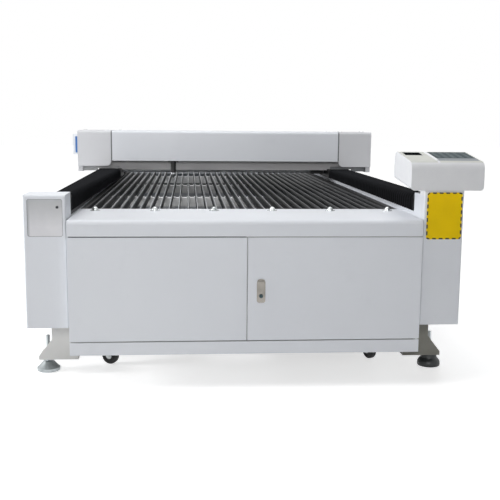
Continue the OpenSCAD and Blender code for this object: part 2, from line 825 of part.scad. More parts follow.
// Control and power unit behind the left panel, with cooling slots and cable glands
module control_unit() {
    x0 = -560;
    w = 420;
    h = 190;
    d0 = 115;
    depth = 480;
    slot_w = 6;
    slot_step = 16;
    color("gainsboro") difference() {
        union() {
            block(x0, d0, frame_top, x0 + w, d0 + depth, frame_top + h);
            for (i = [0:3]) bar_d(11, x0 + 80 + i * 60, frame_top + 40, d0 + depth - 1, d0 + depth + 22);
        }
        for (i = [0:11]) block(x0 + 40 + i * slot_step, d0 - 1, frame_top + 60, x0 + 40 + i * slot_step + slot_w,
            d0 + 6, frame_top + h - 30);
    }
}

// Hinged front door with the cut-out for the latch and holes for the pivot pins
module front_door() {
    z1 = panel_z + panel_h;
    fit = slide_gap;
    color("whitesmoke") difference() {
        pan(door_x0, front_half_w, panel_z, z1, door_flange);
        bar_z(door_pin_r + run_gap, pivot_x, pivot_d, panel_z - 1, z1 + 1);
        block(latch_x - latch_w / 2 + 3 - fit, -1, latch_z - latch_h / 2 + 3 - fit, latch_x + latch_w / 2 - 3 + fit,
            sheet + 1, latch_z + latch_h / 2 - 3 + fit);
        tongue_slot(door_x0 - 1, door_x0 + sheet + 1);
        block(pivot_x + door_pin_r, pivot_d + 4.5, panel_z - 1, front_half_w + 1, flange, z1 + 1);
    }
}

// Latch: flush body with a bezel, a paddle on a cross pin, a push button and a sliding tongue
paddle_pin_r = 1.5;
module latch_housing() {
    r = 9;
    room = slide_gap;
    swing_room = 2;
    color("silver") difference() {
        union() {
            along_d(-latch_proud, 0) polygon(round_rect(latch_x - latch_w / 2, latch_z - latch_h / 2,
                latch_x + latch_w / 2, latch_z + latch_h / 2, [r, r, r + 6, r + 6]));
            block(latch_x - latch_w / 2 + 3, -1, latch_z - latch_h / 2 + 3, latch_x + latch_w / 2 - 3, latch_box,
                latch_z + latch_h / 2 - 3);
        }
        difference() {
            block(latch_x - paddle_w / 2 - room, -latch_proud - 1, paddle_top - paddle_h - room,
                latch_x + paddle_w / 2 + room, 7, paddle_top + swing_room);
            bar_x(paddle_pin_r, 1, paddle_top - 5, latch_x - latch_w / 2 + 1, latch_x + latch_w / 2 - 1);
        }
        bar_d(button_r + run_gap, latch_x, button_z, -latch_proud - 1, 10);
        block(latch_x - latch_w, tongue_d - slide_gap, tongue_z - tongue_h / 2 - slide_gap, latch_x + 8,
            tongue_d + tongue_t + slide_gap, tongue_z + tongue_h / 2 + slide_gap);
    }
}
module latch_paddle() {
    z0 = paddle_top - paddle_h;
    color("gainsboro") difference() {
        union() {
            along_x(latch_x - paddle_w / 2, latch_x + paddle_w / 2) polygon(concat(
                [[-latch_proud, z0], [1, z0], [3, z0 + 6], [3, paddle_top - 8]],
                arc(0, paddle_top - 4, 3, -20, 90, 4), [[-latch_proud, paddle_top - 1]]));
        }
        bar_d(button_r + 1.5, latch_x, button_z, -latch_proud - 1, latch_box);
        bar_x(paddle_pin_r + run_gap, 1, paddle_top - 5, latch_x - latch_w, latch_x + latch_w);
    }
}
module latch_button() {
    key_w = 1.6;
    color("dimgray") difference() {
        bar_d(button_r, latch_x, button_z, -latch_proud - 1.5, 5);
        block(latch_x - key_w / 2, -latch_proud - 3, button_z - 4, latch_x + key_w / 2, -latch_proud,
            button_z + 4);
    }
}
module latch_tongue() {
    color("gray") block(door_x0 + sheet + 6, tongue_d, tongue_z - tongue_h / 2, latch_x + 4,
        tongue_d + tongue_t, tongue_z + tongue_h / 2);
}

// Gantry beam: box section over the bed with stepped ends and lugs for the belt pulleys
module gantry_beam() {
    lug_half = 30;
    seat = truck_x - 4;
    color("gainsboro") union() {
        difference() {
            union() {
                block(-beam_half_w, beam_d, truck_top, beam_half_w, beam_d + beam_depth, beam_top);
                block(-seat, beam_d, beam_z, seat, beam_d + beam_depth, truck_top + 1);
                both_sides() block(seat - 1, beam_d, truck_deck, bellows_out, beam_d + beam_depth, truck_top + 1);
            }
            block(-beam_half_w - 1, beam_d + beam_wall, truck_top + beam_wall, beam_half_w + 1,
                beam_d + beam_depth - beam_wall, beam_top - beam_wall);
        }
        both_sides() difference() {
            union() {
                block(x_pulley_x - lug_half, x_lug_d, truck_top + 25, x_pulley_x + lug_half, x_lug_d + x_lug_t,
                    x_pulley_z + lug_half);
                block(x_pulley_x - lug_half, x_lug_d + 1, truck_top + 25, x_pulley_x + lug_half, beam_d + 1,
                    x_pulley_z - x_pulley_r - x_belt_t - 12);
            }
            bar_d(x_shaft_r + run_gap, x_pulley_x, x_pulley_z, x_lug_d - 1, x_lug_d + x_lug_t + 1);
        }
        bar_d(x_shaft_r, -x_pulley_x, x_pulley_z, x_lug_d - 5, x_belt_d + x_belt_w + 2);
        bar_d(x_shaft_r + 4, -x_pulley_x, x_pulley_z, x_lug_d - 5, x_lug_d + 1);
    }
}

// Trucks that join the beam to the rail blocks, with room for the rack and pinion
module gantry_trucks() {
    channel_x0 = rail_x - block_w / 2 - 3;
    channel_x1 = rack_x + rack_w + 3;
    color([0.12, 0.12, 0.13]) both_sides() difference() {
        union() {
            block(truck_x, truck_d0, truck_z, bellows_out, truck_d1, truck_deck);
            block(channel_x1, truck_d0, base_top + 2, bellows_out, truck_d1, truck_z + 1);
        }
        block(channel_x0, truck_d0 - 1, truck_z - 1, channel_x1, truck_d1 + 1, block_z + block_h);
        block(rack_x - 1, y_shaft_d - pinion_r - gear_m - 2, truck_z - 1, rack_x + rack_w + 1,
            y_shaft_d + pinion_r + gear_m + 2, truck_deck + 1);
        bar_x(y_shaft_r + run_gap, y_shaft_d, y_shaft_z, truck_x - 1, bellows_out + 1);
    }
}

// Recirculating blocks on the long rails, two at each end of the gantry
module rail_blocks() {
    end_room = 8;
    color("slategray") both_sides() for (d = [truck_d0 + end_room, truck_d1 - end_room - block_len])
        difference() {
            block(rail_x - block_w / 2, d, block_z, rail_x + block_w / 2, d + block_len, block_z + block_h);
            block(rail_x - rail_w / 2 - slide_gap, d - 1, block_z - 1, rail_x + rail_w / 2 + slide_gap,
                d + block_len + 1, base_top + rail_h + slide_gap);
        }
}

// Outline of the gantry covers in depth and height, as a closed area and as a folded sheet
function cover_outline(z0, z1, t) = let (d0 = gantry_d + t, d1 = gantry_d + gantry_depth - t, r = cover_r - t)
    concat([[d0, z0]], arc(d0 + r, gantry_top - t - r, r, 180, 90),
        arc(d1 - r, gantry_top - t - r, r, 90, 0), [[d1, z1]]);
module cover_sheet(z0, z1) {
    polygon(concat(cover_outline(z0, z1, 0), flip(cover_outline(z0, z1, sheet))));
}
module middle_cover() {
    half = end_cover_x - cover_gap;
    tab = 3;
    tab_x = half - 75;
    color("whitesmoke") union() {
        along_x(-half, half) cover_sheet(mid_cover_z, end_cover_z);
        both_sides() block(tab_x, beam_d + 8, beam_top, tab_x + tab, beam_d + beam_depth - 8,
            gantry_top - sheet + 0.5);
    }
}
// End cover with its outer wall, a web that meets the beam's end and a lip that hangs lower
module end_cover() {
    web = 3;
    lip_w = 27;
    lip_d = gantry_d + 18;
    r = end_corner_r;
    color("whitesmoke") difference() {
        union() {
            along_x(end_cover_x, gantry_half_w) cover_sheet(end_cover_z, end_cover_z);
            along_x(gantry_half_w - sheet, gantry_half_w) polygon(cover_outline(end_cover_z, end_cover_z, 0));
            block(gantry_half_w - sheet, lip_d, lip_z, gantry_half_w, gantry_d + gantry_depth - 20,
                end_cover_z + 1);
            block(gantry_half_w - lip_w, lip_d, lip_z, gantry_half_w, lip_d + sheet, end_cover_z + 8);
            block(gantry_half_w - lip_w, lip_d, lip_z, gantry_half_w, gantry_d + gantry_depth - 20,
                lip_z + sheet);
            block(beam_half_w, beam_d + 8, truck_top + 8, beam_half_w + web, beam_d + beam_depth - 8,
                gantry_top - sheet + 0.5);
        }
        along_d(gantry_d - 1, gantry_d + sheet + 1) polygon(concat(
            [[end_cover_x - 1, end_cover_z - 1], [end_cover_x + r, end_cover_z - 1]],
            arc(end_cover_x + r, end_cover_z + r, r, 270, 180), [[end_cover_x - 1, end_cover_z + r]]));
    }
}
module left_end_cover() mirror([1, 0, 0]) end_cover();
module right_end_cover() end_cover();

// Cross rail on the beam's front face
module x_rail() {
    half = end_cover_x - 16;
    color("silver") translate([-half, py(beam_d), x_rail_z]) rotate([90, 0, 90]) linear_extrude(2 * half)
        rotate([0, 0, 90]) rail_profile(x_rail_size, x_rail_size);
}

// Drive belt of the cross axis, a loop round both pulleys
module x_belt() {
    color([0.1, 0.1, 0.1]) along_d(x_belt_d, x_belt_d + x_belt_w) difference() {
        x_belt_outline(x_pulley_r + run_gap + x_belt_t);
        x_belt_outline(x_pulley_r + run_gap);
    }
}
module x_belt_outline(r) {
    polygon(concat(arc(x_pulley_x, x_pulley_z, r, -90, 90, 24), arc(-x_pulley_x, x_pulley_z, r, 90, 270, 24)));
}

// Motor of the cross axis in front of its lug
motor_size = 57;
motor_len = 52;
module x_motor() {
    half = motor_size / 2;
    d0 = x_lug_d - motor_len;
    color([0.15, 0.15, 0.16]) difference() {
        along_d(d0, x_lug_d) polygon(round_rect(x_pulley_x - half, x_pulley_z - half, x_pulley_x + half,
            x_pulley_z + half, [6, 6, 6, 6]));
        bar_d(x_shaft_r + run_gap, x_pulley_x, x_pulley_z, x_lug_d - 14, x_lug_d + 1);
    }
}

// Flanged belt pulley, its axis along the depth
module x_pulley(x) {
    rim = 4;
    flange_t = 1.2;
    hub = 0.5;
    bar_d(x_pulley_r, x, x_pulley_z, x_belt_d - hub, x_belt_d + x_belt_w + hub);
    for (d = [x_belt_d - hub - flange_t, x_belt_d + x_belt_w + hub])
        bar_d(x_pulley_r + rim, x, x_pulley_z, d, d + flange_t);
}
module x_drive_pulley() {
    color("silver") union() {
        x_pulley(x_pulley_x);
        bar_d(x_shaft_r, x_pulley_x, x_pulley_z, x_lug_d - 12, x_belt_d + x_belt_w + 1);
    }
}
module x_idler_pulley() {
    color("silver") difference() {
        x_pulley(-x_pulley_x);
        bar_d(x_shaft_r + run_gap, -x_pulley_x, x_pulley_z, x_belt_d - 5, x_belt_d + x_belt_w + 5);
    }
}

// Small service box on the gantry's left end, with a sunk field in its outer face
module service_box() {
    x0 = -console_x1;
    z0 = deck_z + 171;
    h = 121;
    d0 = gantry_d + 18;
    depth = 120;
    rim = 12;
    color("whitesmoke") difference() {
        block(x0, d0, z0, -gantry_half_w, d0 + depth, z0 + h);
        block(x0 + 14, d0 - 1, z0 + rim, x0 + 27, d0 + 3, z0 + h - rim);
        block(x0 - 1, d0 + rim, z0 + rim, x0 + 3, d0 + depth - rim, z0 + h - rim);
    }
}

// Right-angle gearbox and motor behind the beam, on the drive shaft
module y_drive_unit() {
    w = 80;
    x0 = truck_x - 9 - w;
    d0 = beam_d + beam_depth;
    d1 = y_shaft_d + 30;
    gear_z = y_shaft_z - 12;
    gear_top = y_shaft_z + 56;
    motor_h = 96;
    color([0.15, 0.15, 0.16]) difference() {
        union() {
            block(x0, d0, gear_z, x0 + w, d1, gear_top);
            translate([x0 + w / 2, py(y_shaft_d), gear_top - 1]) linear_extrude(motor_h)
                polygon(round_rect(-29, -29, 29, 29, [6, 6, 6, 6]));
        }
        bar_x(y_shaft_r + run_gap, y_shaft_d, y_shaft_z, x0 - 1, x0 + w + 1);
    }
}

// Cross shaft with a pinion over each rack, one tooth pointing straight down
module pinion_outline() {
    root_r = pinion_r - gear_m * 1.25;
    tip_r = pinion_r + gear_m;
    pitch_half = rack_pitch / 4 - tooth_slack - 0.35;
    tip_half = pitch_half * 0.36;
    root_half = pitch_half * 1.35;
    step = 360 / pinion_teeth;
    root_a = asin(root_half / root_r);
    polygon([for (k = [0:pinion_teeth - 1]) let (a = 180 + k * step) each [
        [root_r * sin(a - root_a), root_r * cos(a - root_a)],
        [pinion_r * sin(a) - pitch_half * cos(a), pinion_r * cos(a) + pitch_half * sin(a)],
        [tip_r * sin(a) - tip_half * cos(a), tip_r * cos(a) + tip_half * sin(a)],
        [tip_r * sin(a) + tip_half * cos(a), tip_r * cos(a) - tip_half * sin(a)],
        [pinion_r * sin(a) + pitch_half * cos(a), pinion_r * cos(a) - pitch_half * sin(a)],
        [root_r * sin(a + root_a), root_r * cos(a + root_a)]]]);
}
module y_drive_shaft() {
    side_room = 1;
    shaft_half = bellows_out - 4;
    color("silver") union() {
        bar_x(y_shaft_r, y_shaft_d, y_shaft_z, -shaft_half, shaft_half);
        both_sides() translate([0, py(y_shaft_d) - py(0), y_shaft_z])
            along_x(rack_x + side_room, rack_x + rack_w - side_room) pinion_outline();
    }
}

// Carriage of the cutting head: plate, rail block, belt clip and tube clamp
module head_carriage() {
    half = 40;
    block_half = 30;
    clip_half = 16;
    clip_h = 9;
    clamp_half = 26;
    rail_half = x_rail_size / 2 + slide_gap;
    belt_low = x_pulley_z - x_pulley_r - run_gap - x_belt_t;
    color([0.13, 0.13, 0.14]) difference() {
        union() {
            block(head_x - half, plate_d, clamp_z, head_x + half, plate_d + plate_t, x_pulley_z + 15);
            block(head_x - block_half, plate_d + plate_t - 1, x_rail_z - 19, head_x + block_half,
                beam_d - slide_gap, x_rail_z + 19);
            block(head_x - clip_half, plate_d + plate_t - 1, belt_low - clip_h, head_x + clip_half,
                beam_d - 4, belt_low + x_belt_t + 5);
            block(head_x - clamp_half, head_d - tube_r - 7, clamp_z, head_x + clamp_half, plate_d + 1,
                clamp_z + clamp_h);
            bar_x(5, head_d, clamp_z + clamp_h / 2, head_x + clamp_half - 1, head_x + clamp_half + 14);
            bar_x(9, head_d, clamp_z + clamp_h / 2, head_x + clamp_half + 6, head_x + clamp_half + 14);
        }
        block(head_x - half - 1, beam_d - x_rail_size - slide_gap, x_rail_z - rail_half, head_x + half + 1,
            beam_d + 1, x_rail_z + rail_half);
        block(head_x - half - 1, x_belt_d - 1, belt_low - slide_gap, head_x + half + 1, beam_d + 1,
            belt_low + x_belt_t + slide_gap);
        bar_z(tube_r + run_gap, head_x, head_d, clamp_z - 1, clamp_z + clamp_h + 1);
    }
}

// Lens tube with the collimator and fibre socket above the clamp
module lens_tube() {
    socket_z = clamp_z + clamp_h + focus_travel + 5;
    body_r = tube_r + 5;
    top = socket_z + 85;
    color([0.08, 0.08, 0.09]) translate([head_x, py(head_d), 0]) rotate_extrude()
        polygon([[0, nozzle_top_z], [tube_r - 2, nozzle_top_z], [tube_r, nozzle_top_z + 2], [tube_r, socket_z],
            [body_r, socket_z], [body_r, top - 25], [body_r - 6, top - 22], [body_r - 6, top], [6, top],
            [6, top - 12], [0, top - 12]]);
}

// Conical nozzle with a knurled ring, open at its tip
module nozzle() {
    hole_r = 1;
    tip_r = 4;
    ring_r = tube_r + 3.5;
    color("silver") translate([head_x, py(head_d), 0]) rotate_extrude()
        polygon([[hole_r, nozzle_tip_z], [tip_r, nozzle_tip_z], [ring_r - 6, nozzle_top_z - 13],
            [ring_r, nozzle_top_z - 11], [ring_r, nozzle_top_z], [hole_r, nozzle_top_z]]);
}

// Swivelling fork with its axle; the fork's own frame has the wheel trailing along +X
module caster_fork_shape() {
    leg_t = 4;
    gap = wheel_w / 2 + 2;
    crown_r = 28;
    difference() {
        union() {
            translate([0, 0, crown_z]) cylinder(r = crown_r, h = crown_h);
            for (side = [-1, 1]) translate([0, side * (gap + leg_t / 2), 0]) rotate([90, 0, 0])
                translate([0, 0, -leg_t / 2]) linear_extrude(leg_t) polygon(concat(
                    [[-16, crown_z + 3], [-14, crown_z - 6]], arc(caster_trail, axle_z, 12, 215, 360, 6),
                    [[24, crown_z + 3]]));
            translate([caster_trail, gap + leg_t + 2, axle_z]) rotate([90, 0, 0])
                cylinder(r = axle_r, h = 2 * (gap + leg_t + 2));
        }
        translate([0, 0, crown_z - 1]) cylinder(r = kingpin_r + run_gap, h = crown_h + 2);
    }
}
module caster_wheel_shape() {
    r = wheel_d / 2;
    half = wheel_w / 2;
    hub_r = 12;
    translate([caster_trail, 0, axle_z]) rotate([90, 0, 0]) rotate_extrude() polygon(concat(
        [[axle_r + run_gap, -half - 1], [hub_r, -half - 1], [hub_r, -half + 4], [r - 12, -half + 4],
        [r - 10, -half]], arc(r - 5, -half + 5, 5, -90, 0, 4), arc(r - 5, half - 5, 5, 0, 90, 4),
        [[r - 10, half], [r - 12, half - 4], [hub_r, half - 4], [hub_r, half + 1],
        [axle_r + run_gap, half + 1]]));
}
// Places a caster: side is 0 for left and 1 for right, end is 0 for the front and 1 for the rear
module at_caster(side, end) {
    translate([(2 * side - 1) * caster_x, py(end == 0 ? caster_d : body_len - caster_d), 0])
        rotate([0, 0, caster_turn[end][side]]) children();
}
module caster_fork(side, end) color("silver") at_caster(side, end) caster_fork_shape();
module caster_wheel(side, end) color([0.1, 0.1, 0.1]) at_caster(side, end) caster_wheel_shape();

base_frame();
slat_beams();
slats();
debris_tray();
front_apron();
rear_apron();
apron_bolts();
front_plinth();
left_front_panel();
left_column();
right_column();
side_casings();
rear_panel();
leg_brackets();
levelling_feet();
caster_plates();
rail_bases();
y_rails();
y_racks();
front_bellows_left();
front_bellows_right();
rear_bellows_left();
rear_bellows_right();
console_shell();
console_display();
console_keypad();
console_bracket();
door_pivots();
laser_source();
control_unit();
front_door();
latch_housing();
latch_paddle();
latch_button();
latch_tongue();
gantry_beam();
gantry_trucks();
rail_blocks();
middle_cover();
left_end_cover();
right_end_cover();
x_rail();
x_belt();
x_motor();
service_box();
y_drive_unit();
y_drive_shaft();
head_carriage();
lens_tube();
nozzle();
x_drive_pulley();
x_idler_pulley();
caster_fork(0, 0);  // caster_fork_front_left
caster_fork(1, 0);  // caster_fork_front_right
caster_fork(0, 1);  // caster_fork_rear_left
caster_fork(1, 1);  // caster_fork_rear_right
caster_wheel(0, 0);  // caster_wheel_front_left
caster_wheel(1, 0);  // caster_wheel_front_right
caster_wheel(0, 1);  // caster_wheel_rear_left
caster_wheel(1, 1);  // caster_wheel_rear_right
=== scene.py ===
"""Looks of the flatbed laser cutter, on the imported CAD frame."""

import math

import bmesh
import bpy
from mathutils import Matrix, Vector


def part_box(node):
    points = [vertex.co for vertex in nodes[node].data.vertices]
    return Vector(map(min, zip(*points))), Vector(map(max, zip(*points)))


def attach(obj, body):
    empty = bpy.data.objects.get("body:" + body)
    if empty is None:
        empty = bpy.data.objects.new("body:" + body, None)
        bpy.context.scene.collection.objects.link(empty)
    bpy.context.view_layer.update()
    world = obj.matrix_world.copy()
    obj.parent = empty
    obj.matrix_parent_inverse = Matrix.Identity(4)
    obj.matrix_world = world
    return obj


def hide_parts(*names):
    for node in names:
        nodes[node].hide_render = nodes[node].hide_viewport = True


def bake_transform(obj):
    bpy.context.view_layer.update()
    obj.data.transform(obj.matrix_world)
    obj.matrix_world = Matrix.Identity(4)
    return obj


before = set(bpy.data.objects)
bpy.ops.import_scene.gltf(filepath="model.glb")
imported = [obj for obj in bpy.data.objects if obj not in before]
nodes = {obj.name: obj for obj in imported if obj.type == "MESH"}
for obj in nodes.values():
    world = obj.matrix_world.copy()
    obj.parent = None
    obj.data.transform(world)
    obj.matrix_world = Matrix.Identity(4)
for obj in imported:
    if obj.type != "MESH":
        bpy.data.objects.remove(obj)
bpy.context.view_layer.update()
scene = bpy.context.scene

# Places in metres: X across, Y along the bed, Z up; a depth counts from the cabinet's front face
FRONT = -1.755  # Y of the cabinet's front face
FIELD = (-0.837, 0.604, -0.704, 0.747)  # left, bottom, right and top of the left column's field
COVER_R, COVER_TOP, COVER_SIDE = 0.016, 0.985, 0.882  # gantry covers: corner radius, top, outer faces
COVER_FRONT, COVER_BACK = 1.852, 2.152  # depths of the gantry covers' faces
TRUCK_FRONT, TRUCK_BACK = 1.900, 2.150  # depths of the gantry trucks' ends
HELD_FRONT, HELD_BACK = 0.165, 3.335  # depths of the bellows' fixed ends
HELD_X, GANTRY_X, OUT_X = 0.690, 0.634, 0.764  # bellows: inner side at both ends, outer side
HELD_Z, GANTRY_Z, TOP_Z = 0.688, 0.706, 0.755  # bellows: lower edge at both ends, top
SIDES = (("left", -1), ("right", 1))
CASTERS = ("front_left", "front_right", "rear_left", "rear_right")


def linear(r, g, b):
    """Linear colour of an sRGB colour given as 0 to 255."""
    out = []
    for c in (r / 255, g / 255, b / 255):
        out.append(c / 12.92 if c <= 0.04045 else ((c + 0.055) / 1.055) ** 2.4)
    return (*out, 1.0)


WHITE = (linear(231, 234, 239), linear(225, 228, 234))  # the machine's white, in two tones


# Camera of the photo
def photo_camera():
    """Camera fitted to the edges in the photo."""
    photo_px, sensor_mm, focal_px = 500, 36, 825.133
    pitch, yaw, roll = 0.154247, 0.0753026, 0.00877536
    place = Vector((-0.22738, -4.89259, 1.04284))
    forward = Vector((math.sin(yaw) * math.cos(pitch), math.cos(yaw) * math.cos(pitch), -math.sin(pitch)))
    right = Vector((math.cos(yaw), -math.sin(yaw), 0))
    up = right.cross(forward)
    x = right * math.cos(roll) + up * math.sin(roll)
    y = up * math.cos(roll) - right * math.sin(roll)
    data = bpy.data.cameras.new("photo_camera")
    data.sensor_width = sensor_mm
    data.sensor_fit = "HORIZONTAL"
    data.lens = focal_px / photo_px * sensor_mm
    data.clip_end = 200
    cam = bpy.data.objects.new("photo_camera", data)
    scene.collection.objects.link(cam)
    cam.matrix_world = Matrix.Translation(place) @ Matrix((x, y, -forward)).transposed().to_4x4()
    scene.camera = cam


photo_camera()


# Materials
class Shader:
    """A material's node tree with short calls for the nodes used here."""

    def __init__(self, name):
        self.material = bpy.data.materials.new(name)
        self.material.use_nodes = True
        self.tree = self.material.node_tree
        self.bsdf = self.tree.nodes["Principled BSDF"]
        self.at = self.add("ShaderNodeTexCoord").outputs["Object"]

    def add(self, kind, inputs=(), **settings):
        n = self.tree.nodes.new(kind)
        for key, value in settings.items():
            setattr(n, key, value)
        for key, value in dict(inputs).items():
            self.put(n.inputs[key], value)
        return n

    def put(self, socket, value):
        if isinstance(value, bpy.types.NodeSocket):
            self.tree.links.new(value, socket)
        else:
            socket.default_value = value

    def noise(self, scale, detail=3.0, rough=0.55, stretch=None):
        where = self.at
        if stretch:
            where = self.add("ShaderNodeMapping", {"Vector": self.at, "Scale": stretch}).outputs[0]
        settings = {"Vector": where, "Scale": scale, "Detail": detail, "Roughness": rough}
        return self.add("ShaderNodeTexNoise", settings).outputs["Fac"]

    def ramp(self, fac, low, high, a=0.0, b=1.0):
        settings = {"Value": fac, "From Min": low, "From Max": high, "To Min": a, "To Max": b}
        return self.add("ShaderNodeMapRange", settings).outputs[0]

    def cloud(self, scale, detail, rough=0.55):
        """Soft patches, from 0 to 1."""
        return self.ramp(self.noise(scale, detail, rough), 0.3, 0.7)

    def math(self, kind, a, b=0.0, c=0.0):
        n = self.add("ShaderNodeMath", operation=kind)
        for socket, value in zip(n.inputs, (a, b, c)):
            self.put(socket, value)
        return n.outputs[0]

    def mix(self, fac, a, b):
        n = self.add("ShaderNodeMix", data_type="RGBA")
        for index, value in ((0, fac), (6, a), (7, b)):
            self.put(n.inputs[index], value)
        return n.outputs[2]

    def split(self, vector, axis):
        return self.add("ShaderNodeSeparateXYZ", {"Vector": vector}).outputs["XYZ".index(axis)]

    def part(self, axis):
        """The place along one axis."""
        return self.split(self.at, axis)

    def facing(self, axis):
        """How far the face looks along one axis."""
        return self.split(self.add("ShaderNodeNewGeometry").outputs["Normal"], axis)

    def wave(self, axis, scale):
        settings = {"Vector": self.at, "Scale": scale}
        return self.add("ShaderNodeTexWave", settings, bands_direction=axis).outputs["Fac"]

    def bump(self, height, strength, distance):
        n = self.add("ShaderNodeBump", {"Height": height, "Strength": strength, "Distance": distance})
        self.put(self.bsdf.inputs["Normal"], n.outputs[0])

    def peel(self):
        """Orange peel of sprayed paint."""
        self.bump(self.noise(420, 2), 0.12, 0.0006)

    def set(self, **values):
        names = {
            "color": "Base Color",
            "rough": "Roughness",
            "metal": "Metallic",
            "specular": "Specular IOR Level",
        }
        for key, value in values.items():
            self.put(self.bsdf.inputs[names[key]], value)


def powder_coat(name, light, dark, rough=(0.34, 0.46)):
    """Sprayed paint: faint cloudy tone, orange peel, and handling marks in the gloss."""
    s = Shader(name)
    grime = s.ramp(s.noise(9, 6, 0.7), 0.58, 0.8, 0, 0.25)
    dirty = tuple(c * 0.9 for c in dark[:3]) + (1,)
    marks = s.ramp(s.noise(5, 5, 0.65), 0.35, 0.7, *rough)
    s.set(color=s.mix(grime, s.mix(s.cloud(1.3, 4), light, dark), dirty), rough=marks, specular=0.45)
    s.peel()
    return s.material


def brushed(name, color, rough, grain, dull=None):
    """Metal with drawn grain and a dull film in patches."""
    s = Shader(name)
    lines = s.noise(60, 4, 0.6, grain)
    dull = dull or tuple(c * 0.72 for c in color[:3]) + (1,)
    film = s.ramp(s.noise(14, 5), 0.4, 0.75)
    s.set(
        color=s.mix(film, color, dull),
        metal=1.0,
        rough=s.ramp(lines, 0.25, 0.75, rough - 0.08, rough + 0.12),
    )
    s.bump(lines, 0.12, 0.0004)
    return s.material


def moulded(name, light, dark, rough):
    """Moulded plastic or rubber with a fine grain."""
    s = Shader(name)
    s.set(
        color=s.mix(s.ramp(s.noise(22, 5), 0.35, 0.7), light, dark),
        rough=s.ramp(s.noise(40, 4), 0.3, 0.7, rough - 0.07, rough + 0.1),
    )
    s.bump(s.noise(900, 2), 0.25, 0.0004)
    return s.material


def slat_metal():
    """Knife-edge slats: dull sides with soot and smoke streaks; edge wear, and a painted highlight left of
    the middle.
    """
    edge_low, edge_high, highlight_x = 0.6605, 0.6665, -0.28
    s = Shader("slat_metal")
    edge = s.ramp(s.part("Z"), edge_low, edge_high)
    streaks = s.ramp(s.noise(9, 5, 0.7, (12, 1, 40)), 0.35, 0.7)
    soot_and_shade = s.ramp(s.noise(3, 5, 0.7, (1, 1, 3)), 0.45, 0.7)
    side = s.mix(streaks, linear(84, 86, 88), linear(52, 53, 55))
    side = s.mix(soot_and_shade, side, linear(36, 37, 40))
    # Painted highlight: the top edges are lightest around x = -0.28 and fall back to the plain wear tone
    # further aside.
    off_highlight = s.ramp(s.math("ABSOLUTE", s.math("ADD", s.part("X"), -highlight_x)), 0.12, 0.55)
    painted_highlight = s.mix(streaks, linear(206, 209, 211), linear(146, 149, 152))
    wear_and_highlight = s.mix(off_highlight, painted_highlight, s.mix(streaks, linear(96, 97, 99), linear(78, 79, 81)))
    s.set(color=s.mix(edge, side, wear_and_highlight), metal=0.75, rough=s.ramp(streaks, 0, 1, 0.36, 0.52))
    s.bump(streaks, 0.2, 0.0006)
    return s.material


def pleated_cloth():
    """Coated bellows cloth: fine weave, dusty ridges, and painted shade that turns the valleys between the
    pleats black.
    """
    s = Shader("bellows_cloth")
    weave = s.math("MULTIPLY", s.wave("X", 260.0), s.wave("Y", 260.0))
    dust = s.ramp(s.noise(7, 6, 0.7), 0.45, 0.8)
    fold = s.add("ShaderNodeAttribute", attribute_name="fold").outputs["Fac"]
    ridge = s.mix(dust, linear(32, 33, 36), linear(40, 41, 44))
    # Painted shade: the deeper a point sits in a fold, the closer its colour goes to black.
    s.set(
        color=s.mix(s.ramp(fold, 0.0, 0.6), ridge, linear(1, 1, 1)),
        rough=s.ramp(dust, 0, 1, 0.62, 0.78),
        specular=0.03,
    )
    s.bump(weave, 0.3, 0.0005)
    return s.material


def display_glass():
    """Dark glass of the display, smeared by hands."""
    s = Shader("display_glass")
    smear = s.ramp(s.noise(18, 5, 0.6, (1, 3, 1)), 0.4, 0.75)
    s.set(
        color=s.mix(smear, linear(16, 18, 20), linear(24, 27, 30)),
        rough=s.ramp(smear, 0, 1, 0.33, 0.4),
        specular=0.0,
    )
    return s.material


def keypad_film():
    """Printed film on the console's slope: dark ground, paler raised keys, a pale border at the near end."""
    slope = math.atan(38 / 275)
    near_y, near_z, key_rise = FRONT - 0.03, 0.895, 0.0006
    border_y = FRONT + 0.060
    s = Shader("keypad_film")
    grain = s.ramp(s.noise(120, 4), 0.35, 0.7)
    along = s.math("MULTIPLY", s.math("SUBTRACT", s.part("Y"), near_y), math.sin(slope))
    height = s.math("SUBTRACT", s.math("MULTIPLY", s.part("Z"), math.cos(slope)), along)
    key = s.math("GREATER_THAN", height, near_z * math.cos(slope) + key_rise)
    near = s.math("LESS_THAN", s.part("Y"), border_y)
    ground = s.mix(grain, linear(106, 115, 118), linear(94, 103, 106))
    keys = s.mix(grain, linear(134, 143, 145), linear(120, 129, 131))
    border = s.mix(grain, linear(174, 178, 182), linear(166, 170, 174))
    s.set(
        color=s.mix(near, s.mix(key, ground, keys), border),
        rough=s.ramp(s.noise(30, 4), 0.3, 0.7, 0.5, 0.64),
        specular=0.0,
    )
    s.bump(s.noise(1500, 2), 0.3, 0.0003)
    return s.material


def console_paint():
    """Paint of the console: white walls and rib, a darker beige-grey on the faces that look up, apart from
    the rib.
    """
    rib_x, rib_half = 0.7355, 0.0052
    s = Shader("console_paint")
    cloud = s.cloud(9, 5, 0.65)
    rib = s.math("COMPARE", s.part("X"), rib_x, rib_half)
    up = s.math("MULTIPLY", s.ramp(s.facing("Z"), 0.75, 0.95), s.math("SUBTRACT", 1.0, rib))
    wall = s.mix(cloud, linear(234, 235, 237), linear(228, 229, 232))
    top = s.mix(cloud, linear(207, 208, 201), linear(201, 202, 195))
    s.set(color=s.mix(up, wall, top), rough=s.ramp(cloud, 0, 1, 0.4, 0.5), specular=0.4)
    s.peel()
    return s.material


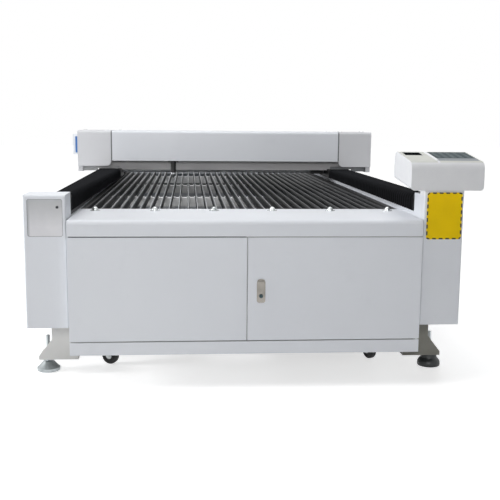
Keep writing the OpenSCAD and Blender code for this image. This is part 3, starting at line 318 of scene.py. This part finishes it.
def casing_paint():
    """White paint of the side casings, with painted shade in dark tones on the flange beside the slats."""
    flange_x, flange_z = 0.6872, 0.6
    s = Shader("casing_paint")
    cloud = s.cloud(1.3, 4)
    # Painted shade: the flange inside the casing, next to the last slat, gets dark tones for the shadowed
    # gap there.
    inside = s.math("LESS_THAN", s.math("ABSOLUTE", s.part("X")), flange_x)
    flange = s.math("MULTIPLY", inside, s.math("GREATER_THAN", s.part("Z"), flange_z))
    soot_and_shade = s.mix(s.ramp(s.noise(20, 5), 0.35, 0.7), linear(56, 56, 57), linear(40, 40, 42))
    color = s.mix(flange, s.mix(cloud, *WHITE), soot_and_shade)
    s.set(color=color, rough=s.ramp(cloud, 0, 1, 0.36, 0.46), specular=0.4)
    s.peel()
    return s.material


def leg_paint():
    """Paint of the leg brackets: white, with the right pair painted stone grey as shade."""
    s = Shader("leg_paint")
    cloud = s.cloud(9, 5, 0.65)
    # Painted shade: brackets right of the middle take the grey tone of the shade they stand in.
    right = s.math("GREATER_THAN", s.part("X"), 0.0)
    white = s.mix(cloud, linear(228, 228, 226), linear(221, 221, 219))
    grey = s.mix(cloud, linear(144, 143, 135), linear(134, 133, 125))
    s.set(color=s.mix(right, white, grey), rough=s.ramp(cloud, 0, 1, 0.4, 0.52), specular=0.35)
    s.peel()
    return s.material


def field_paint():
    """Paint of the left column's shallow field, with painted shade: darker towards its upper edge and its
    left edge.
    """
    left_x, top_z, pale_z = FIELD[0], FIELD[3], 0.64
    s = Shader("field_paint")
    # Painted shade of the shallow recess: darker towards the top edge and along the left edge.
    shade_fade_down = s.ramp(s.part("Z"), top_z, pale_z)
    left = s.ramp(s.part("X"), left_x + 0.001, left_x + 0.011)
    cloud = s.cloud(14, 4)
    upper = s.mix(cloud, linear(196, 198, 200), linear(188, 190, 192))
    lower = s.mix(cloud, linear(232, 232, 235), linear(224, 224, 228))
    color = s.mix(left, linear(178, 180, 184), s.mix(shade_fade_down, upper, lower))
    s.set(color=color, rough=s.ramp(cloud, 0, 1, 0.4, 0.5), specular=0.35)
    s.peel()
    return s.material


def foot_metal():
    """Levelling feet: zinc plate, with dark rubber-coated cups on the right pair."""
    cup_top = 0.0405
    s = Shader("foot_metal")
    right = s.math("GREATER_THAN", s.part("X"), 0.0)
    dark = s.math("MULTIPLY", right, s.math("LESS_THAN", s.part("Z"), cup_top))
    film = s.ramp(s.noise(25, 5), 0.35, 0.75)
    zinc = s.mix(film, linear(196, 201, 203), linear(140, 147, 149))
    rubber = s.mix(film, linear(44, 48, 49), linear(60, 64, 65))
    s.set(
        color=s.mix(dark, zinc, rubber),
        metal=s.ramp(dark, 0, 1, 0.9, 0.0),
        rough=s.ramp(film, 0, 1, 0.28, 0.44),
    )
    s.bump(s.noise(240, 3), 0.15, 0.0005)
    return s.material


def yellow_plate():
    """Bare enamelled plate, a little faded and rubbed."""
    s = Shader("yellow_plate")
    fade = s.ramp(s.noise(11, 5), 0.35, 0.75)
    rub = s.ramp(s.noise(60, 6, 0.7, (1, 1, 4)), 0.62, 0.8)
    color = s.mix(fade, linear(250, 212, 8), linear(241, 203, 8))
    color = s.mix(rub, color, linear(228, 192, 60))
    s.set(color=color, rough=s.ramp(fade, 0, 1, 0.34, 0.46), specular=0.15)
    s.bump(s.noise(500, 2), 0.15, 0.0004)
    return s.material


MAT = {
    "white": powder_coat("white_paint", *WHITE),
    "cover": powder_coat("end_cover_paint", linear(217, 218, 221), linear(211, 212, 216)),
    "joint": powder_coat("joint_paint", linear(118, 120, 123), linear(104, 106, 109)),
    "field": field_paint(),
    "grey": powder_coat("grey_paint", linear(196, 197, 198), linear(182, 183, 184)),
    "beam": powder_coat("beam_paint", linear(226, 225, 226), linear(214, 213, 214), (0.3, 0.45)),
    "black": powder_coat("black_paint", linear(30, 30, 32), linear(22, 22, 24), (0.38, 0.55)),
    "cloth": pleated_cloth(),
    "slat": slat_metal(),
    "steel": brushed("rail_steel", linear(190, 192, 195), 0.32, (1, 0.02, 1)),
    "zinc": brushed("zinc_plate", linear(205, 208, 208), 0.3, (1, 1, 0.1), linear(150, 155, 156)),
    "foot": foot_metal(),
    "lock": moulded("lock_dark", linear(22, 56, 62), linear(16, 42, 48), 0.4),
    "latch": brushed("latch_metal", linear(146, 142, 136), 0.34, (1, 1, 0.1), linear(106, 103, 98)),
    "console": console_paint(),
    "leg": leg_paint(),
    "casing": casing_paint(),
    "glass": display_glass(),
    "keypad": keypad_film(),
    "rubber": moulded("wheel_rubber", linear(34, 34, 35), linear(24, 24, 25), 0.6),
    "boot": moulded("boot_rubber", linear(36, 40, 41), linear(48, 52, 53), 0.4),
    # Belt rubber, also the black strip of painted shade on the left rail base.
    "belt": moulded("belt_rubber", linear(30, 30, 31), linear(22, 22, 23), 0.65),
    "yellow": yellow_plate(),
    "ink": moulded("edge_ink", linear(14, 13, 12), linear(20, 19, 17), 0.6),
    "blue": powder_coat("blue_paint", linear(62, 114, 178), linear(52, 100, 162)),
    "comb": powder_coat("comb_paint", linear(250, 250, 250), linear(243, 243, 244), (0.3, 0.42)),
    # Dark seal for the plug and the side seams; also painted shade in the louvre gaps and the seam above the
    # left panel.
    "seal_and_gap_shade": moulded("dark_seal_and_gap_shade", linear(58, 60, 63), linear(44, 46, 49), 0.6),
}


# CAD nodes: shading, small bevels, materials
def shade_by_angle():
    """Node group that shades smooth across flat edges and sharp across the others."""
    sharp_degrees = 38
    g = bpy.data.node_groups.new("shade_by_angle", "GeometryNodeTree")
    g.interface.new_socket("Geometry", in_out="INPUT", socket_type="NodeSocketGeometry")
    g.interface.new_socket("Geometry", in_out="OUTPUT", socket_type="NodeSocketGeometry")
    start, end = g.nodes.new("NodeGroupInput"), g.nodes.new("NodeGroupOutput")
    faces, edges = (g.nodes.new("GeometryNodeSetShadeSmooth") for _ in range(2))
    faces.domain, edges.domain = "FACE", "EDGE"
    edges.inputs["Shade Smooth"].default_value = False
    angle = g.nodes.new("GeometryNodeInputMeshEdgeAngle")
    limit = g.nodes.new("FunctionNodeCompare")
    limit.data_type, limit.operation = "FLOAT", "GREATER_THAN"
    limit.inputs[1].default_value = math.radians(sharp_degrees)
    g.links.new(start.outputs[0], faces.inputs["Geometry"])
    g.links.new(faces.outputs[0], edges.inputs["Geometry"])
    g.links.new(angle.outputs["Unsigned Angle"], limit.inputs[0])
    g.links.new(limit.outputs[0], edges.inputs["Selection"])
    g.links.new(edges.outputs[0], end.inputs[0])
    return g


SHADE = shade_by_angle()


def soften(obj, width):
    """Shading by angle, after a bevel of the given width where it isn't 0."""
    if width:
        weld = obj.modifiers.new("weld", "WELD")
        weld.merge_threshold = 0.00002
        bevel = obj.modifiers.new("bevel", "BEVEL")
        bevel.width, bevel.segments = width, 2
        bevel.limit_method, bevel.angle_limit = "ANGLE", math.radians(40)
        bevel.use_clamp_overlap = True
    shade = obj.modifiers.new("shade", "NODES")
    shade.node_group = SHADE
    normals = obj.modifiers.new("normals", "WEIGHTED_NORMAL")
    normals.weight, normals.keep_sharp = 100, True


def paint(obj, material):
    obj.data.materials.clear()
    obj.data.materials.append(material)


LOOK = {
    "white": """front_apron rear_apron front_plinth left_front_panel left_column right_column rear_panel
        rail_bases front_door middle_cover service_box""",
    "cover": "left_end_cover right_end_cover",
    "console": "console_shell console_bracket",
    "leg": "leg_brackets",
    "casing": "side_casings",
    "latch": "latch_housing latch_paddle",
    "grey": "base_frame control_unit",
    "beam": "gantry_beam",
    "comb": "slat_beams",
    "black": "debris_tray laser_source gantry_trucks x_motor y_drive_unit head_carriage lens_tube",
    "slat": "slats",
    "steel": "y_rails x_rail y_drive_shaft x_drive_pulley x_idler_pulley rail_blocks y_racks nozzle",
    "zinc": "apron_bolts caster_plates door_pivots latch_tongue "
    + " ".join(f"caster_fork_{c}" for c in CASTERS),
    "foot": "levelling_feet",
    "lock": "latch_button",
    "glass": "console_display",
    "keypad": "console_keypad",
    "belt": "x_belt",
    "rubber": " ".join(f"caster_wheel_{c}" for c in CASTERS),
}
BEVEL = 0.0009
OTHER_BEVELS = {"console_shell": 0.0015}
OTHER_BEVELS.update(dict.fromkeys(("slats", "slat_beams", "y_racks", "y_drive_shaft"), 0.0))
for look, names in LOOK.items():
    for name in names.split():
        paint(nodes[name], MAT[look])
        soften(nodes[name], OTHER_BEVELS.get(name, BEVEL))


# Mesh helpers for added pieces
def piece(name, vertices, faces, material, body):
    """A mesh object that rides on a body, or on none yet."""
    mesh = bpy.data.meshes.new(name)
    mesh.from_pydata(vertices, [], faces)
    mesh.update()
    bm = bmesh.new()
    bm.from_mesh(mesh)
    bmesh.ops.recalc_face_normals(bm, faces=bm.faces)
    bm.to_mesh(mesh)
    bm.free()
    obj = bpy.data.objects.new(name, mesh)
    scene.collection.objects.link(obj)
    mesh.materials.append(material)
    if body:
        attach(obj, body)
    return obj


def join(parts):
    """Vertices and faces of several (vertices, faces) pairs as one."""
    vertices, faces = [], []
    for v, f in parts:
        n = len(vertices)
        vertices += v
        faces += [tuple(i + n for i in face) for face in f]
    return vertices, faces


def skin(rows, n, ring=False, loop=False):
    """Faces between rows of n points. A ring closes each row, a loop joins the last row to the first."""
    faces = []
    for i in range(rows if loop else rows - 1):
        for j in range(n if ring else n - 1):
            k, m = (j + 1) % n, (i + 1) % rows
            faces.append((i * n + j, i * n + k, m * n + k, m * n + j))
    return faces


def prism(outline, place, low, high):
    """A closed prism: outline in (a, b), place(a, b, c) gives the point, c from low to high."""
    n = len(outline)
    vertices = [place(a, b, low) for a, b in outline] + [place(a, b, high) for a, b in outline]
    faces = [tuple(range(n))[::-1], tuple(range(n, 2 * n))]
    faces += [(i, (i + 1) % n, n + (i + 1) % n, n + i) for i in range(n)]
    return vertices, faces


def arc(a, b, r, start, turn, steps):
    """Points on an arc around (a, b), from start degrees through turn degrees."""
    angles = [math.radians(start + turn * i / steps) for i in range(steps + 1)]
    return [(a + r * math.cos(t), b + r * math.sin(t)) for t in angles]


def rounded(a0, b0, a1, b1, r, steps=5):
    """Outline of a rectangle with round corners."""
    corners = ((a1 - r, b0 + r, -90), (a1 - r, b1 - r, 0), (a0 + r, b1 - r, 90), (a0 + r, b0 + r, 180))
    return [point for a, b, start in corners for point in arc(a, b, r, start, 90, steps)]


def on_front(y):
    """Places (x, z, outwards) on a face that looks to the front."""
    return lambda a, b, c: (a, y - c, b)


def on_back(y):
    """Places (x, z, outwards) on a face that looks to the back."""
    return lambda a, b, c: (a, y + c, b)


def on_side(x):
    """Places (y, z, outwards) on a side face: the right one for a positive x."""
    return lambda a, b, c: (x + math.copysign(c, x), a, b)


def on_top(z):
    """Places (x, y, upwards) on a level face."""
    return lambda a, b, c: (a, b, z + c)


def across(side):
    """Places (depth, z, x) on one side of the middle."""
    return lambda a, b, c: (side * c, FRONT + a, b)


def along(side):
    """Places (x, z, depth) on one side of the middle."""
    return lambda a, b, c: (side * a, FRONT + c, b)


def lathe(place, a, b, profile, steps=14):
    """A round body standing on a face, from (radius, height) pairs, closed at its end."""
    vertices = []
    for r, h in profile:
        vertices += [place(x, y, h) for x, y in arc(a, b, r, 0, 360, steps)[:steps]]
    last = (len(profile) - 1) * steps
    return vertices, skin(len(profile), steps, ring=True) + [tuple(range(last, last + steps))]


def screws(name, body, place, spots, r=0.006, h=0.0036):
    """Dome-head screws with a socket, in one piece."""
    shape = ((r * 1.25, 0), (r * 1.25, h * 0.15), (r, h * 0.2), (r * 0.97, h * 0.5), (r * 0.78, h * 0.86))
    shape += ((r * 0.5, h), (r * 0.44, h * 0.6))
    heads = join([lathe(place, a, b, shape) for a, b in spots])
    soften(piece(name, *heads, MAT["zinc"], body), 0)


def louvres(name, place, a0, a1, first):
    """Eight pressed louvres with a shadow gap under each lip, from the first one's height up."""
    pitch, h, out, inset = 0.022, 0.013, 0.006, 0.005
    ends = ((a0, 0.0), (a0 + 0.006, 1.0), (a1 - 0.006, 1.0), (a1, 0.0))
    profile = ((0.0, 1.0), (0.18, 0.97), (0.45, 0.72), (0.75, 0.3), (1.0, 0.0))
    hoods, gaps = [], []
    for b in [first + pitch * k for k in range(8)]:
        vertices = [place(a, b + h * t, 0.0002 + out * rise * c) for a, rise in ends for t, c in profile]
        hoods.append((vertices, skin(len(ends), len(profile))))
        slot = rounded(a0 + inset, b - 0.0008, a1 - inset, b + 0.005, 0.001, 2)
        gaps.append(prism(slot, place, 0.0, 0.0004))
    soften(piece(name, *join(hoods), MAT["white"], "cabinet"), 0)
    piece(name + "_gaps", *join(gaps), MAT["seal_and_gap_shade"], "cabinet")


# Bellows
def bellows_ring(share, dip, low):
    """Section of a bellows as (x, z). Share runs from the fixed end to the gantry, dip is a fold's depth."""
    x0 = HELD_X + (GANTRY_X - HELD_X) * share + dip
    x1, top = OUT_X - dip, TOP_Z - dip
    wide, small = 0.022 - 0.008 * share, 0.006  # radii of the inner and the outer corner
    ring = [(x0, low)] + arc(x0 + wide, top - wide, wide, 180, -90, 6)
    ring += [(x0 + wide + (x1 - small - x0 - wide) * k / 4, top) for k in range(1, 4)]
    return ring + arc(x1 - small, top - small, small, 90, -90, 3) + [(x1, low)]


def bellows(name, side, held, moving):
    """Pleated cover from the fixed end to the gantry, with a tucked length inside the truck."""
    pleats, depth, tuck, tuck_rows, tuck_lift = 56, 0.0058, 0.12, 8, 0.003
    fold = ((0.0, 0.0), (0.12, 0.35), (0.38, 0.85), (0.5, 1.0), (0.62, 0.85), (0.88, 0.35))
    step = (moving - held) / pleats
    direction = 1 if moving > held else -1
    rows = []
    for i in range(pleats):
        rows += [(held + (i + share) * step, (i + share) / pleats, dip * depth, 0) for share, dip in fold]
    rows.append((moving, 1.0, 0.0, 0))
    for i in range(1, tuck_rows + 1):
        rows.append((moving + direction * tuck * i / tuck_rows, 1.0, 0.005 if i % 2 else 0.0035, tuck_lift))
    vertices = []
    for y, share, dip, lift in rows:
        ring = bellows_ring(share, dip, HELD_Z + (GANTRY_Z - HELD_Z) * share + lift)
        vertices += [(side * x, y, z) for x, z in ring]
    n = len(ring)
    obj = piece(name, vertices, skin(len(rows), n), MAT["cloth"], None)
    # Fold depth at each point, which the cloth material turns into painted shade in the creases.
    crease_shade = [min(row[2] / depth, 1.0) for row in rows for _ in range(n)]
    obj.data.attributes.new("fold", "FLOAT", "POINT").data.foreach_set("value", crease_shade)
    thick = obj.modifiers.new("thickness", "SOLIDIFY")
    thick.thickness, thick.offset = 0.0012, -1
    soften(obj, 0)
    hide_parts(name)
    obj.name = name + "_cloth"
    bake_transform(obj)


for which, side in SIDES:
    bellows(f"front_bellows_{which}", side, FRONT + HELD_FRONT, FRONT + TRUCK_FRONT)
    bellows(f"rear_bellows_{which}", side, FRONT + HELD_BACK, FRONT + TRUCK_BACK)


# Bare plates and fields
def dashed_line(outer, inner, pitch, share):
    """Outlines of dashes along a closed band between two lines of points."""
    chain, total = [], 0.0
    for i in range(len(outer) + 1):
        o, q = outer[i % len(outer)], inner[i % len(inner)]
        if chain:
            total += math.dist(o, chain[-1][1])
        chain.append((total, o, q))

    def at(where):
        for (s0, o0, q0), (s1, o1, q1) in zip(chain, chain[1:]):
            if s0 <= where <= s1 and s1 > s0:
                t = (where - s0) / (s1 - s0)
                return [tuple(u + (v - u) * t for u, v in zip(a, b)) for a, b in ((o0, o1), (q0, q1))]
        return list(chain[-1][1:])

    count = round(total / pitch)
    dash = total / count * share
    outlines = []
    for i in range(count):
        pairs = [at(min(i * total / count + dash * k / 5, total)) for k in range(6)]
        outlines.append([pair[0] for pair in pairs] + [pair[1] for pair in reversed(pairs)])
    return outlines


def yellow_column_plate():
    """Bare yellow plate with a dashed edge on the right column."""
    x0, x1, z0, z1, r, wide = 0.7045, 0.8455, 0.591, 0.776, 0.010, 0.0055
    face = on_front(FRONT + 0.020)
    plate = prism(rounded(x0, z0, x1, z1, r), face, 0.0, 0.0012)
    soften(piece("column_plate", *plate, MAT["yellow"], "cabinet"), 0.0003)
    outer = rounded(x0, z0, x1, z1, r, 6)
    inner = rounded(x0 + wide, z0 + wide, x1 - wide, z1 - wide, r - wide, 6)
    dashes = [prism(outline, face, 0.0011, 0.0016) for outline in dashed_line(outer, inner, 0.027, 0.58)]
    piece("column_plate_edge", *join(dashes), MAT["ink"], "cabinet")


yellow_column_plate()


def left_field():
    """Bare field with a rim and a plug on the left column."""
    x0, z0, x1, z1 = FIELD
    rim_w, rim_r = 0.0012, 0.008
    face = on_front(FRONT + 0.021)
    panel = prism(rounded(x0 + rim_w, z0 + rim_w, x1 - rim_w, z1 - rim_w, rim_r - 0.001), face, 0.0, 0.0004)
    soften(piece("column_field", *panel, MAT["field"], "cabinet"), 0.0002)
    rim = prism(rounded(x0, z0, x1, z1, rim_r), face, 0.0, 0.0002)
    piece("column_field_rim", *rim, MAT["joint"], "cabinet")
    shape = ((0.0055, 0.0003), (0.0055, 0.003), (0.004, 0.006), (0.002, 0.0065))
    plug = lathe(face, x1 - 0.0195, z1 - 0.0305, shape)
    soften(piece("column_field_plug", *plug, MAT["seal_and_gap_shade"], "cabinet"), 0)


left_field()


def service_strip():
    """Blue strip in the service box's recess."""
    x0, z0, x1, z1 = -0.8962, 0.8526, -0.8848, 0.9484
    strip = prism(rounded(x0, z0, x1, z1, 0.002), on_front(FRONT + 1.873), 0.0, 0.0024)
    soften(piece("service_strip", *strip, MAT["blue"], "gantry"), 0.0006)


service_strip()


# Fixings, louvres and seams
def side_details():
    """Screws, panel seams and louvres on the side casings."""
    casing_x, seam_half, louvre_half = 0.853, 0.0012, 0.12
    first, pitch, count = 0.24, 0.398, 9
    for which, side in SIDES:
        face = on_side(side * casing_x)
        spots = [(FRONT + first + pitch * i, z) for i in range(count) for z in (0.262, 0.648)]
        screws(f"{which}_side_screws", "cabinet", face, spots)
        seams = []
        for d in (1.255, 2.385):
            line = rounded(FRONT + d - seam_half, 0.249, FRONT + d + seam_half, 0.666, 0.001, 2)
            seams.append(prism(line, face, 0.0, 0.0003))
        piece(f"{which}_side_seams", *join(seams), MAT["seal_and_gap_shade"], "cabinet")
        for i, d in enumerate((0.70, 2.86)):
            near, far = FRONT + d - louvre_half, FRONT + d + louvre_half
            louvres(f"{which}_side_louvres_{i}", face, near, far, 0.38)


side_details()


def rear_details():
    """Screws, louvres and two cable glands on the rear panel."""
    face = on_back(FRONT + 3.52)
    spots = [(x, z) for x in (-0.665, -0.4, -0.13, 0.13, 0.4, 0.665) for z in (0.15, 0.575)]
    screws("rear_screws", "cabinet", face, spots)
    louvres("rear_louvres", face, -0.13, 0.13, 0.31)
    shape = ((0.02, 0), (0.02, 0.006), (0.0165, 0.008), (0.0165, 0.02), (0.012, 0.026))
    shape += ((0.0075, 0.027), (0.007, 0.02))
    glands = join([lathe(face, x, 0.24, shape, 18) for x in (-0.6, -0.54)])
    soften(piece("rear_glands", *glands, MAT["rubber"], "cabinet"), 0)


rear_details()


def cover_screws():
    """Screws of the gantry's end covers. The service box takes one place on the left."""
    r, h = 0.005, 0.003
    depths, heights = (1.895, 2.112), (0.80, 0.955)
    spots = [(FRONT + d, z) for d in depths for z in heights]
    screws("right_cover_screws", "gantry", on_side(COVER_SIDE), spots, r, h)
    taken = (FRONT + depths[0], heights[1])
    clear = [spot for spot in spots if spot != taken]
    screws("left_cover_screws", "gantry", on_side(-COVER_SIDE), clear, r, h)
    tops = [(side * x, FRONT + d) for _, side in SIDES for x in (0.64, 0.715, 0.85) for d in (1.95, 2.055)]
    screws("cover_top_screws", "gantry", on_top(COVER_TOP), tops, r, h)


cover_screws()


def bellows_clamps(which, side):
    """Clamp frames of the bellows: on the trucks, at the columns and at the rear posts."""
    wall, thick, proud = 0.006, 0.004, 0.0015
    for end, body, d, sign, x0, z0 in (
        ("front_gantry", "gantry", TRUCK_FRONT - proud, -1, GANTRY_X, GANTRY_Z + 0.003),
        ("rear_gantry", "gantry", TRUCK_BACK + proud, 1, GANTRY_X, GANTRY_Z + 0.003),
        ("front_held", "cabinet", HELD_FRONT + proud, 1, HELD_X, HELD_Z + 0.0005),
        ("rear_held", "cabinet", HELD_BACK - proud, -1, HELD_X, HELD_Z + 0.0005),
    ):
        outer = rounded(x0 - proud, z0, OUT_X + proud, TOP_Z + 0.0025, 0.012)
        inner = rounded(x0 + wall, z0 - 0.0004 + wall, OUT_X - wall, TOP_Z - wall, 0.008)
        loops = ((outer, 0), (outer, thick), (inner, thick), (inner, 0))
        vertices = [(side * x, FRONT + d + sign * c, z) for loop, c in loops for x, z in loop]
        faces = skin(len(loops), len(outer), ring=True, loop=True)
        soften(piece(f"bellows_clamp_{end}_{which}", vertices, faces, MAT["black"], body), 0.0005)


for which, side in SIDES:
    bellows_clamps(which, side)


def seam_strips():
    """Strips just behind the front's seams: folded edges seen in the gaps, not open slots, and over the left
    panel a dark strip of painted shade.
    """
    x0, x1, right, low, z0, z1 = -0.0018, 0.0008, 0.684, 0.200, 0.6026, 0.6056
    door = [(x0, low), (x1, low), (x1, z0), (right, z0), (right, z1), (x0, z1)]
    panel = rounded(-0.684, 0.6024, -0.004, 0.6056, 0.001, 2)
    column = rounded(-0.6916, 0.249, -0.6874, 0.667, 0.0015, 3)
    for name, outline, depth, look in (
        ("door", door, 0.0028, "grey"),
        # Painted shade: the dark strip in the seam above the left panel.
        ("panel", panel, 0.0045, "seal_and_gap_shade"),
        ("column", column, 0.0222, "white"),
    ):
        strip = prism(outline, on_front(FRONT + depth), -0.0014, 0.0)
        piece(f"{name}_seam_strip", *strip, MAT[look], "cabinet")


seam_strips()


def cover_joints():
    """Bands behind the joints of the gantry covers, along the covers' outline."""
    low_front, low_back, near, far = 0.812, 0.782, 0.675, 0.690
    lines = []
    for t in (0.0031, 0.0043):
        r = COVER_R - t
        line = [(COVER_FRONT + t, low_front)]
        line += arc(COVER_FRONT + t + r, COVER_TOP - t - r, r, 180, -90, 6)
        line += arc(COVER_BACK - t - r, COVER_TOP - t - r, r, 90, -90, 6)
        lines.append(line + [(COVER_BACK - t, low_back)])
    outline = lines[0] + lines[1][::-1]
    for which, side in SIDES:
        band = prism(outline, across(side), near, far)
        soften(piece(f"cover_joint_{which}", *band, MAT["joint"], "gantry"), 0)


cover_joints()


def cover_skirts():
    """Folded sheet between each truck and the end cover over it, lower outside the bellows; the right one
    painted darker as shade.
    """
    x0, step_x, x1, z0, step_z, z1 = 0.640, 0.769, 0.878, 0.7455, 0.7585, 0.7745
    outline = [(x0, step_z), (step_x, step_z), (step_x, z0), (x1, z0), (x1, z1), (x0, z1)]
    # Painted shade: the right skirt takes the darker joint paint, the left one the lighter grey.
    for (which, side), look in zip(SIDES, ("grey", "joint")):
        skirt = prism(outline, along(side), 1.893, 1.895)
        soften(piece(f"cover_skirt_{which}", *skirt, MAT[look], "gantry"), 0.0003)


cover_skirts()


def base_shade_strip():
    """Black strip on the inner face of the left rail base: painted shade of that face, which is turned away
    from the light.
    """
    x, z0, z1, thick, chamfer = -0.695, 0.6695, 0.6865, 0.0006, 0.0008
    outline = [(x, z0), (x + thick, z0 + chamfer), (x + thick, z1 - chamfer), (x, z1)]
    shade_strip = prism(outline, along(1), 0.17, 3.33)
    soften(piece("left_base_shade_strip", *shade_strip, MAT["belt"], "cabinet"), 0)


base_shade_strip()


def foot_boots():
    """Rubber boots over the cups of the right feet, rounded at the rim and up to the leg plate."""
    shape = ((0.0470, 0.0010), (0.0486, 0.0040), (0.0490, 0.0110), (0.0483, 0.0180), (0.0458, 0.0245))
    shape += ((0.0415, 0.0300), (0.0368, 0.0345), (0.0340, 0.0400), (0.0332, 0.0560), (0.0300, 0.0585))
    shape += ((0.0160, 0.0588),)
    low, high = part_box("levelling_feet")
    pad_r = 0.048
    spots = ((high[0] - pad_r, low[1] + pad_r), (high[0] - pad_r, high[1] - pad_r))
    boots = join([lathe(on_top(0), a, b, shape, 32) for a, b in spots])
    soften(piece("foot_boots", *boots, MAT["boot"], "cabinet"), 0)


foot_boots()


# Light, world and floor
def area(name, place, target, size, power, color=(1, 1, 1)):
    """A round area light at a place, turned to a target."""
    data = bpy.data.lights.new(name, "AREA")
    data.shape, data.size, data.energy, data.color = "DISK", size, power, color
    obj = bpy.data.objects.new(name, data)
    scene.collection.objects.link(obj)
    obj.location = place
    obj.rotation_mode = "QUATERNION"
    obj.rotation_quaternion = (Vector(target) - Vector(place)).to_track_quat("-Z", "Y")
    return obj


area("front", (-0.55, -6.6, 1.9), (-0.2, -0.6, 0.6), 1.3, 72)
area("left", (-6.0, -1.8, 2.0), (0.7, -1.5, 0.75), 1.6, 228)
area("top", (0, -0.3, 4.2), (0, -0.3, 0), 4.5, 84, (0.98, 0.99, 1.0))
area("over", (-1.2, -2.2, 3.6), (0, -1.0, 0.5), 2.5, 32)
area("rear", (2.6, 6.2, 2.6), (0, 1.4, 0.5), 3.0, 150).visible_glossy = False


def white_world():
    """A world that is white to the camera and in reflections, and adds little light."""
    fill = 0.04
    world = bpy.data.worlds.new("studio")
    scene.world = world
    world.use_nodes = True
    tree = world.node_tree
    back = tree.nodes["Background"]
    path = tree.nodes.new("ShaderNodeLightPath")
    seen, mirrored = (tree.nodes.new("ShaderNodeMath") for _ in range(2))
    seen.operation = mirrored.operation = "MAXIMUM"
    level = tree.nodes.new("ShaderNodeMapRange")
    level.inputs["To Min"].default_value = fill
    level.inputs["To Max"].default_value = 1.0
    tree.links.new(path.outputs["Is Glossy Ray"], mirrored.inputs[0])
    tree.links.new(path.outputs["Is Transmission Ray"], mirrored.inputs[1])
    tree.links.new(path.outputs["Is Camera Ray"], seen.inputs[0])
    tree.links.new(mirrored.outputs[0], seen.inputs[1])
    tree.links.new(seen.outputs[0], level.inputs["Value"])
    tree.links.new(level.outputs[0], back.inputs["Strength"])
    back.inputs["Color"].default_value = (1, 1, 1, 1)


def pale_floor():
    """A pale floor that keeps the shadow and turns to the white of the world further out."""
    half, shadow_r, white_r, near_glow = 30, 1.6, 5.5, 0.62
    s = Shader("floor")
    s.set(color=(0.82, 0.82, 0.82, 1), rough=0.9, specular=0.1)
    path = s.add("ShaderNodeLightPath")
    mirrored = s.math("MAXIMUM", path.outputs["Is Glossy Ray"], path.outputs["Is Transmission Ray"])
    seen = s.math("MAXIMUM", path.outputs["Is Camera Ray"], mirrored)
    reach = s.add("ShaderNodeVectorMath", {0: s.at}, operation="LENGTH").outputs["Value"]
    level = s.ramp(reach, shadow_r, white_r, near_glow, 1.0)
    glow = s.add("ShaderNodeEmission", {"Color": (1, 1, 1, 1), "Strength": s.math("MULTIPLY", seen, level)})
    both = s.add("ShaderNodeAddShader", {0: s.bsdf.outputs[0], 1: glow.outputs[0]})
    out = next(n for n in s.tree.nodes if n.type == "OUTPUT_MATERIAL")
    s.put(out.inputs["Surface"], both.outputs[0])
    mesh = bpy.data.meshes.new("floor")
    corners = [(-half, -half, 0), (half, -half, 0), (half, half, 0), (-half, half, 0)]
    mesh.from_pydata(corners, [], [(0, 1, 2, 3)])
    mesh.materials.append(s.material)
    floor = bpy.data.objects.new("floor", mesh)
    scene.collection.objects.link(floor)


white_world()
pale_floor()
scene.view_settings.view_transform = "Standard"
